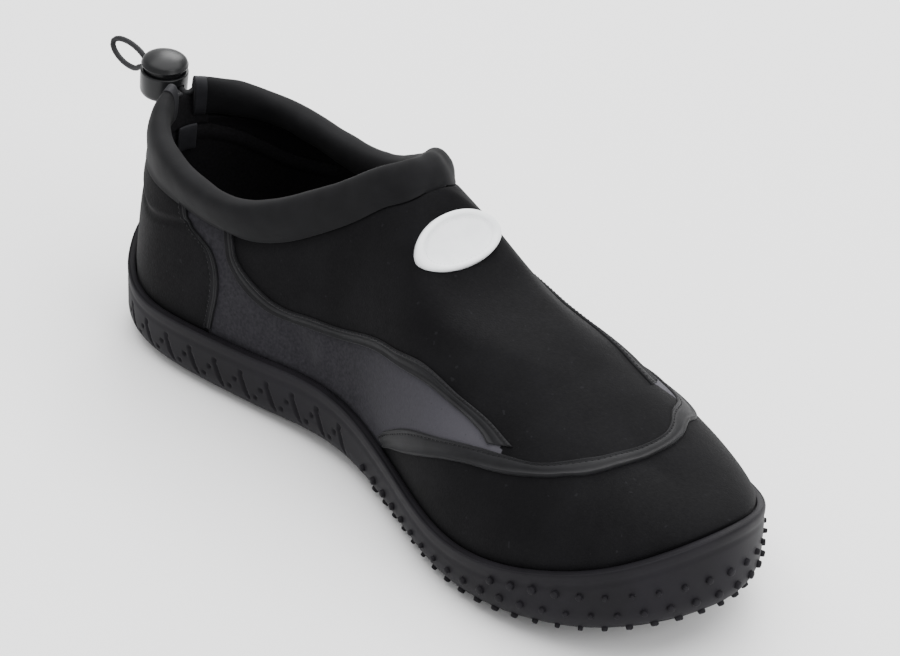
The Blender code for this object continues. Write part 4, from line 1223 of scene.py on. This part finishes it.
def makeHeelBridge():
    # the collar's lining runs on behind the lock, from one end of the roll to the other
    fine = np.linspace(-1.2, 1.2, 400)
    edge = upperPoint(fine % loopRows, topShare(fine % loopRows))
    out = upperNormal(fine % loopRows, topShare(fine % loopRows))
    run = runAlong(edge)
    run = run - np.interp(0, fine, run)

    def place(along, across):
        at = (2 * along - 1) * bridgeSizes["reach"]
        base = np.stack([np.interp(at, run, edge[:, k]) for k in range(3)], -1)
        way = unit(np.stack([np.interp(at, run, out[:, k]) for k in range(3)], -1))
        angle = across * 2 * math.pi
        high = 0.5 + 0.5 * np.sign(np.sin(angle)) * np.abs(np.sin(angle)) ** 0.4
        deep = 0.5 * np.sign(np.cos(angle)) * np.abs(np.cos(angle)) ** 0.7
        sag = bridgeSizes["sag"] * np.cos(math.pi * (2 * along - 1) / 2)
        total = bridgeSizes["height"] + bridgeSizes["below"] - sag
        lift = -last["upperWall"] / 2 - bridgeSizes["inset"] + deep * bridgeSizes["thick"]
        lift = lift + 0.0004 * ripple(base, 0.008, 21)
        spot = base + way * lift[:, None]
        spot[:, 2] += total * high - bridgeSizes["below"]
        return spot

    bm = mappedGrid(40, 40, place, 2e-6)
    bmesh.ops.holes_fill(bm, edges=[e for e in bm.edges if e.is_boundary], sides=0)
    return finishPiece("heelBridge", outward(bm), [liningKnit])


makeHeelBridge()
print("stage: collar made")


# tapes and stitches

tapeSizes = {"steps": 14, "over": 26, "under": 4, "belly": 0.0006, "sunk": 0.0002, "reach": 0.006}
# low and high edge of the toe tape over the crest, by row of its line
toeCrest = {
    6: ((0.2405, -0.0250, 0.0482), (0.2358, -0.0212, 0.0504)),
    7: ((0.2440, -0.0155, 0.0490), (0.2391, -0.0125, 0.0507)),
    8: ((0.2449, -0.0055, 0.0488), (0.2402, -0.0035, 0.0502)),
    9: ((0.2444, 0.0035, 0.0489), (0.2397, 0.0040, 0.0502)),
    10: ((0.2415, 0.0115, 0.0487), (0.2368, 0.0100, 0.0503)),
    11: ((0.2360, 0.0190, 0.0470), (0.2305, 0.0165, 0.0490)),
}
# height of a tape across its width, with its rolled edges and the dips along its stitches
toeProfile = [
    (0, -0.0002), (0.04, 0.0006), (0.11, 0.0011), (0.19, 0.0008), (0.27, 0.0006), (0.55, 0.0007),
    (0.72, 0.0006), (0.80, 0.0004), (0.87, 0.0006), (0.95, 0.0007), (1.0, -0.0002),
]
sideProfile = [
    (0, -0.0002), (0.05, 0.0006), (0.12, 0.0010), (0.22, 0.0006), (0.32, 0.0004), (0.45, 0.0006),
    (0.62, 0.0007), (0.76, 0.0005), (0.86, 0.0009), (0.95, 0.0007), (1.0, -0.0002),
]


def tapeSpot(line, at, t):
    steps = np.arange(len(line), dtype=float)
    alongLow, acrossLow, alongHigh, acrossHigh = [openCurve(steps, part)(at) for part in np.array(line).T]
    uLow = np.where(acrossLow < 0, alongLow, loopRows - alongLow)
    uHigh = np.where(acrossHigh < 0, alongHigh, loopRows - alongHigh)
    u = uLow * (1 - t) + uHigh * t
    v = 1 - np.abs(acrossLow * (1 - t) + acrossHigh * t)
    crossing = (uLow < lastRow) != (uHigh < lastRow)
    u = np.where(crossing, np.where(t < 0.5, uLow, uHigh), u)
    return upperPoint(u, v)


def tapePoint(line, at, t, lift):
    # the tape lies on the upper; over the crest of the toe its edges follow the places in toeCrest
    points = tapeSpot(line, at, t)
    if line is toeTapeLine:
        steps = np.arange(len(line), dtype=float)
        edges = []
        for edge in (0, 1):
            rows = tapeSpot(line, steps, np.full(steps.shape, float(edge)))
            for row, spots in toeCrest.items():
                rows[row] = spots[edge]
            edges.append(np.stack([openCurve(steps, part)(at) for part in rows.T], -1))
        bend = edges[0] * (1 - t[:, None]) + edges[1] * t[:, None]
        inside = (at > min(toeCrest) - 1) & (at < max(toeCrest) + 1)
        points = np.where(inside[:, None], bend, points)
    return layOn(points, lift, tapeSizes["reach"])


def makeTape(name, line, profile, node):
    over, under = tapeSizes["over"], tapeSizes["under"]
    profileCurve = openCurve(*np.array(profile).T)

    def place(along, across):
        at = along * (len(line) - 1)
        loop = across * (over + under)
        t = np.where(loop <= over, loop / over, 1 - (loop - over) / under)
        below = -tapeSizes["belly"] * np.sin(math.pi * t) - tapeSizes["sunk"]
        lift = np.where(loop <= over, profileCurve(t), below)
        return tapePoint(line, at, t, lift)[0]

    count = (len(line) - 1) * tapeSizes["steps"]
    bm = mappedGrid(count, over + under, place, 2e-6)
    bmesh.ops.holes_fill(bm, edges=[e for e in bm.edges if e.is_boundary], sides=0)
    return finishPiece(name, outward(bm), [tapeSatin], [node])


makeTape("toeTape", toeTapeLine, toeProfile, "toe_tape")
makeTape("innerSideTape", innerSideLine, sideProfile, "inner_side_tape")
makeTape("outerSideTape", outerSideLine, sideProfile, "outer_side_tape")
makeTape("innerHeelTape", innerHeelLine, sideProfile, "inner_heel_tape")
makeTape("outerHeelTape", outerHeelLine, sideProfile, "outer_heel_tape")


stitchSizes = {"pitch": 0.0019, "length": 0.00052, "width": 0.00026, "height": 0.00018}


def addStitches(bm, line, t, lift, first=0.0, final=1.0):
    at = np.linspace(first, final, 400) * (len(line) - 1)
    points, normals = tapePoint(line, at, np.full(400, t), np.full(400, lift))
    run = runAlong(points)
    count = int(run[-1] / stitchSizes["pitch"])
    sizes = np.array([stitchSizes["length"], stitchSizes["width"], stitchSizes["height"]])
    for place in (np.arange(count) + 0.5) * stitchSizes["pitch"]:
        spot = np.array([np.interp(place, run, points[:, k]) for k in range(3)])
        ahead = np.array([np.interp(place + 0.0006, run, points[:, k]) for k in range(3)])
        normal = unit(np.array([np.interp(place, run, normals[:, k]) for k in range(3)]))
        forward = unit(ahead - spot + 1e-9)
        axes = np.stack([forward, unit(np.cross(normal, forward)), normal], 1) * sizes
        matrix = Matrix.Translation(Vector(spot + heelPoint)) @ Matrix([[*r] for r in axes]).to_4x4()
        bmesh.ops.create_icosphere(bm, subdivisions=1, radius=1.0, matrix=matrix)


def makeStitches():
    bm = bmesh.new()
    addStitches(bm, toeTapeLine, 0.80, 0.00045, 0.02, 0.98)
    addStitches(bm, innerSideLine, 0.90, 0.0009)
    addStitches(bm, outerSideLine, 0.90, 0.0009)
    addStitches(bm, innerHeelLine, 0.12, 0.0010)
    addStitches(bm, outerHeelLine, 0.12, 0.0010)
    return finishPiece("tapeStitches", bm, [threadBlack])


makeStitches()
print("stage: tapes made")


# badge

badgeSizes = {
    "place": 0.534,  # share of the length
    "side": -0.0005,
    "long": 0.0335,
    "wide": 0.0165,
    "thick": 0.0022,
    "stiff": 0.88,
    "roll": 0.05,  # rise towards the outer side
    "dots": 46,
    "dotRing": (0.735, 0.78),
    "dotLevel": 0.69,
    "dotRadius": 0.0002,
}
# width and rise of each step from the badge's edge inward, as shares of its half size and its thickness
badgeSteps = [
    (0.02, 0.22), (0.04, 0.14), (0.05, 0.05), (0.05, -0.03), (0.025, -0.13), (0.02, -0.12), (0.10, -0.01),
    (0.13, 0.0), (0.16, 0.0), (0.17, 0.0), (0.12, 0.0),
]


def badgeSpot(x, y, rise, share):
    # the badge is stiff: its top bends less than the vamp under it
    def reach(a, b):
        return vampTree.ray_cast(Vector((a + heelPoint[0], b + heelPoint[1], 1.0)), Vector((0, 0, -1)))[0]

    spot, crest = reach(x, y), reach(x, badgeSizes["side"])
    spot.z += (crest.z - spot.z) * badgeSizes["stiff"] * share
    behind, ahead = reach(x - 0.004, badgeSizes["side"]), reach(x + 0.004, badgeSizes["side"])
    slope = math.atan2(ahead.z - behind.z, 0.008)
    raised = Vector((-math.sin(slope), 0, math.cos(slope))) * rise
    return spot + raised + Vector((0, 0, badgeSizes["roll"] * y))


def makeBadge():
    middle = badgeSizes["place"] * last["length"]
    slope = math.atan2(float(ridge(middle + 1e-3) - ridge(middle - 1e-3)), 2e-3)
    halfWide, halfLong = badgeSizes["wide"] / 2 * math.cos(slope), badgeSizes["long"] / 2
    bm = bmesh.new()
    bmesh.ops.create_circle(bm, cap_ends=True, segments=96, radius=1.0)
    base = list(bm.faces)
    raised = bmesh.ops.extrude_face_region(bm, geom=base, use_keep_orig=True)["geom"]
    bmesh.ops.translate(bm, vec=(0, 0, 0.55), verts=[g for g in raised if isinstance(g, bmesh.types.BMVert)])
    top = [f for f in bm.faces if f.calc_center_median().z > 0.5]
    for thickness, depth in badgeSteps:
        bmesh.ops.inset_region(bm, faces=top, thickness=thickness, depth=depth)
    base = [f for f in bm.faces if f.calc_center_median().z < 1e-4]
    for thickness in (0.2, 0.25, 0.3):
        bmesh.ops.inset_region(bm, faces=base, thickness=thickness, depth=0)
    for v in bm.verts:
        share = 0.65 + 0.35 * min(1.0, v.co.z / 0.5)
        x, y = middle + v.co.x * halfWide, badgeSizes["side"] + v.co.y * halfLong
        v.co = badgeSpot(x, y, v.co.z * badgeSizes["thick"], share)
    outward(bm)
    across, along = badgeSizes["dotRing"]
    for k in range(badgeSizes["dots"]):
        angle = 2 * math.pi * k / badgeSizes["dots"]
        x = middle + across * halfWide * math.sin(angle)
        y = badgeSizes["side"] + along * halfLong * math.cos(angle)
        spot = Matrix.Translation(badgeSpot(x, y, badgeSizes["dotLevel"] * badgeSizes["thick"], 1.0))
        bmesh.ops.create_icosphere(bm, subdivisions=1, radius=badgeSizes["dotRadius"], matrix=spot)
    return finishPiece("vampBadge", bm, [badgeRubber], ["badge"])


makeBadge()
print("stage: badge made")


# heel label

labelSizes = {"width": 0.0110, "height": 0.0090, "thick": 0.0014, "lift": 0.0010, "edge": 0.0010}


def makeLabel():
    rowWidth = 2 * abs(float(outlineY(0.5)))
    top0 = float(topShare(np.array([0.0]))[0])
    run = float(np.linalg.norm(upperPoint(0.0, top0) - upperPoint(0.0, 0.0)))

    def place(along, across):
        u = (along - 0.5) * labelSizes["width"] / rowWidth
        top = topShare(u % loopRows)
        angle = across * 2 * math.pi
        high = 0.5 + 0.5 * np.sign(np.sin(angle)) * np.abs(np.sin(angle)) ** 0.35
        deep = 0.5 + 0.5 * np.sign(np.cos(angle)) * np.abs(np.cos(angle)) ** 0.7
        v = top * (1 - (labelSizes["edge"] + labelSizes["height"] * (1 - high)) / run)
        bulge = 0.0003 * np.sin(math.pi * along) * np.sin(math.pi * high)
        lift = -(last["upperWall"] + labelSizes["lift"] + labelSizes["thick"] * deep * 0.9) - bulge
        return upperPoint(u, v) + upperNormal(u % loopRows, v) * lift[..., None]

    bm = mappedGrid(24, 36, place, 2e-6)
    bmesh.ops.holes_fill(bm, edges=[e for e in bm.edges if e.is_boundary], sides=0)
    return finishPiece("heelLabel", outward(bm), [bindingTape], ["heel_label"])


makeLabel()
print("stage: label made")


# cord lock and drawcord

lockSizes = {
    "radius": 0.0083,
    "height": 0.0095,
    "wall": 0.0012,
    "floor": 0.0010,
    "lean": 6.0,
    "back": -0.0030,
    "base": 0.0700,
    "buttonRadius": 0.0081,
    "buttonEdge": 0.0008,
    "crown": 0.0034,
    "travel": 0.0015,
    "cord": 0.0020,
    "clearance": 0.0004,
    "spacing": 0.0028,
    "cordHeight": 0.0053,
    "exitShare": 0.62,
    "endGap": 0.0006,
    "lead": 0.0030,
    "loopReach": 0.0215,
    "loopSpread": 0.0036,
    "cordGap": 0.0150,  # between the cord's two ways out of the collar
}
lockTurn = Matrix.Rotation(math.radians(lockSizes["lean"]), 4, "Y")
lockPlace = Matrix.Translation((lockSizes["back"], 0, lockSizes["base"])) @ lockTurn


def spinPiece(profile, steps=56):
    bm = bmesh.new()
    verts = [bm.verts.new((r, 0, z)) for r, z in profile]
    line = verts + [bm.edges.new(pair) for pair in zip(verts, verts[1:])]
    full = 2 * math.pi
    bmesh.ops.spin(bm, geom=line, axis=(0, 0, 1), cent=(0, 0, 0), angle=full, steps=steps, use_merge=True)
    bmesh.ops.remove_doubles(bm, verts=bm.verts, dist=1e-6)
    return outward(bm)


def roundCorner(before, corner, after, radius, steps=4):
    before, corner, after = Vector(before), Vector(corner), Vector(after)
    first, second = (before - corner).normalized() * radius, (after - corner).normalized() * radius
    points = []
    for k in range(steps + 1):
        t = k / steps
        points.append(tuple(corner + first * (1 - t) ** 2 + second * t**2))
    return points


def cutCordWay(item, bottom, top):
    wide = lockSizes["spacing"] + lockSizes["cord"] + 2 * lockSizes["clearance"]
    bm = bmesh.new()
    bmesh.ops.create_cube(bm, size=1.0)
    bmesh.ops.scale(bm, vec=(4 * lockSizes["radius"], wide, top - bottom), verts=bm.verts)
    bmesh.ops.translate(bm, vec=(0, 0, (top + bottom) / 2), verts=bm.verts)
    edges = [e for e in bm.edges if abs(e.verts[0].co.x - e.verts[1].co.x) > 1e-3]
    bmesh.ops.bevel(bm, geom=edges, offset=0.0006, segments=3, profile=0.5, affect="EDGES", material=-1)
    mesh = bpy.data.meshes.new("cordWay")
    bm.to_mesh(mesh)
    bm.free()
    cutter = bpy.data.objects.new("cordWay", mesh)
    bpy.context.scene.collection.objects.link(cutter)
    cut = item.modifiers.new("cordWay", "BOOLEAN")
    cut.operation = "DIFFERENCE"
    cut.solver = "EXACT"
    cut.object = cutter
    bpy.context.view_layer.update()
    done = bpy.data.meshes.new_from_object(item.evaluated_get(bpy.context.evaluated_depsgraph_get()))
    item.modifiers.clear()
    item.data = done
    bpy.data.objects.remove(cutter)
    item.data.transform(Matrix.Translation(Vector(heelPoint)) @ lockPlace)
    item.data.set_sharp_from_angle(angle=math.radians(35))


def makeLock():
    r, h, bore = lockSizes["radius"], lockSizes["height"], lockSizes["radius"] - lockSizes["wall"]
    barrel = [(0, 0), (r * 0.5, 0)]
    barrel += roundCorner((r * 0.5, 0), (r * 0.97, 0.0002), (r, h * 0.5), r * 0.26)
    barrel += roundCorner((r, h * 0.5), (r, h), (bore, h), 0.0005)
    barrel += roundCorner((r, h), (bore, h), (bore, 0), 0.0003)
    barrel += [(bore, lockSizes["floor"]), (0, lockSizes["floor"])]
    cordLow = lockSizes["cordHeight"] - lockSizes["cord"] / 2 - lockSizes["clearance"]
    cordHigh = lockSizes["cordHeight"] + lockSizes["cord"] / 2 + lockSizes["clearance"]
    form = spinPiece(barrel)
    item = finishPiece("lockBarrel", form, [lockPlastic], ["lock_barrel"], "shoe")
    cutCordWay(item, cordLow, cordHigh)
    stem = bore - last["fitGap"]
    foot = lockSizes["floor"] + lockSizes["travel"] + last["fitGap"]
    under = h + lockSizes["travel"] + last["fitGap"]
    rim, edge, crown = lockSizes["buttonRadius"], lockSizes["buttonEdge"], lockSizes["crown"]
    button = [(0, foot), (stem * 0.9, foot), (stem, foot + 0.0005), (stem, under)]
    button += [(rim - 0.0003, under), (rim, under + 0.0003), (rim, under + edge * 0.8)]
    button += [(rim * 0.975, under + edge * 1.1)]
    for turn in range(16, 91, 6):
        angle = math.radians(turn)
        button.append((rim * 0.985 * math.cos(angle), under + edge + crown * math.sin(angle)))
    button[-1] = (0, under + edge + crown)
    form = spinPiece(button)
    item = finishPiece("lockButton", form, [lockPlastic], ["lock_button"], "button")
    cutCordWay(item, cordLow, cordHigh + lockSizes["travel"])


def smoothRoute(points, count):
    points = np.array(points, float)
    padded = np.concatenate([[2 * points[0] - points[1]], points, [2 * points[-1] - points[-2]]])
    fine = []
    for i in range(len(points) - 1):
        a, b, c, d = padded[i : i + 4]
        for t in np.linspace(0, 1, 16, endpoint=False):
            bend = (-a + 3 * b - 3 * c + d) * t**3 + (2 * a - 5 * b + 4 * c - d) * t**2 + (c - a) * t
            fine.append(b + bend / 2)
    fine.append(points[-1])
    return resample(np.array(fine), [], count)[0]


# the free loop: shares of its reach, of the strands' distance and of its rise
cordLoop = [
    (0.30, -1.0, -0.70), (0.60, -0.8, -0.98), (0.88, -0.4, -0.70), (1.00, 0.0, 0.00),
    (0.88, 0.4, 0.70), (0.60, 0.8, 0.98), (0.30, 1.0, 0.70),
]


def cordRoute():
    points, along, up, _ = collarPath(collarSizes["stations"], (lockSizes["cordGap"] / 2,) * 2)
    high = collarSizes["height"] * collarRoll[0][1]
    ends = []
    for k, away in ((0, -1), (-1, 1)):
        face = points[k] + up[k] * (collarSizes["lift"] + high * lockSizes["exitShare"])
        ends.append([face + away * along[k] * lockSizes[name] for name in ("endGap", "lead")])
    half = lockSizes["spacing"] / 2

    def local(x, side, rise=0.0):
        return np.array(lockPlace @ Vector((x, side * half, lockSizes["cordHeight"] + rise)))

    def strand(side):
        return [local(x * lockSizes["radius"], side) for x in (1.35, 0.9, 0.0, -0.9, -1.35)]

    loop = []
    for reach, side, rise in cordLoop:
        x = -lockSizes["radius"] - reach * lockSizes["loopReach"]
        loop.append(local(x, side, rise * lockSizes["loopSpread"]))
    return [ends[0][0], ends[0][1], *strand(-1), *loop, *reversed(strand(1)), ends[1][1], ends[1][0]]


def makeCord():
    points = smoothRoute(cordRoute(), 60) + heelPoint
    data = bpy.data.curves.new("drawcord", "CURVE")
    data.dimensions = "3D"
    data.bevel_depth = lockSizes["cord"] / 2
    data.bevel_resolution = 4
    data.use_fill_caps = True
    line = data.splines.new("POLY")
    line.points.add(len(points) - 1)
    for target, point in zip(line.points, points):
        target.co = (*point, 1)
    line.use_smooth = True
    data.materials.append(cordBraid)
    item = bpy.data.objects.new("drawcordBraid", data)
    bpy.context.scene.collection.objects.link(item)
    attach(item, "shoe")
    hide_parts("drawcord")
    return item


makeLock()
makeCord()
print("stage: lock and cord made")


# floor and light

stage = {
    "floor": 6.0,
    "world": 0.95,
    "lights": (  # name, place, size, power
        ("topLight", (0.0, 0.3, 2.0), 3.0, 95.0),
        ("keyLight", (1.3, 0.1, 0.8), 0.7, 9.0),
        ("backLight", (-0.9, 1.0, 1.0), 0.7, 12.0),
    ),
}


def makeStage():
    bm = bmesh.new()
    bmesh.ops.create_grid(bm, x_segments=1, y_segments=1, size=stage["floor"] / 2)
    mesh = bpy.data.meshes.new("studioFloor")
    bm.to_mesh(mesh)
    bm.free()
    surface = newMaterial("paleFloor", (0.95, 0.95, 0.955), 0.7)[0]
    mesh.materials.append(surface)
    floor = bpy.data.objects.new("studioFloor", mesh)
    bpy.context.scene.collection.objects.link(floor)
    world = bpy.data.worlds.new("studio")
    world.use_nodes = True
    world.node_tree.nodes["Background"].inputs["Color"].default_value = (1, 1, 1, 1)
    world.node_tree.nodes["Background"].inputs["Strength"].default_value = stage["world"]
    bpy.context.scene.world = world
    for name, place, size, power in stage["lights"]:
        data = bpy.data.lights.new(name, "AREA")
        data.energy = power
        data.size = size
        item = bpy.data.objects.new(name, data)
        bpy.context.scene.collection.objects.link(item)
        turn = (Vector((0, 0, 0.04)) - Vector(place)).to_track_quat("-Z", "Y")
        item.matrix_world = Matrix.Translation(Vector(place)) @ turn.to_matrix().to_4x4()


makeStage()
bpy.context.view_layer.update()
print("stage: floor and light made")
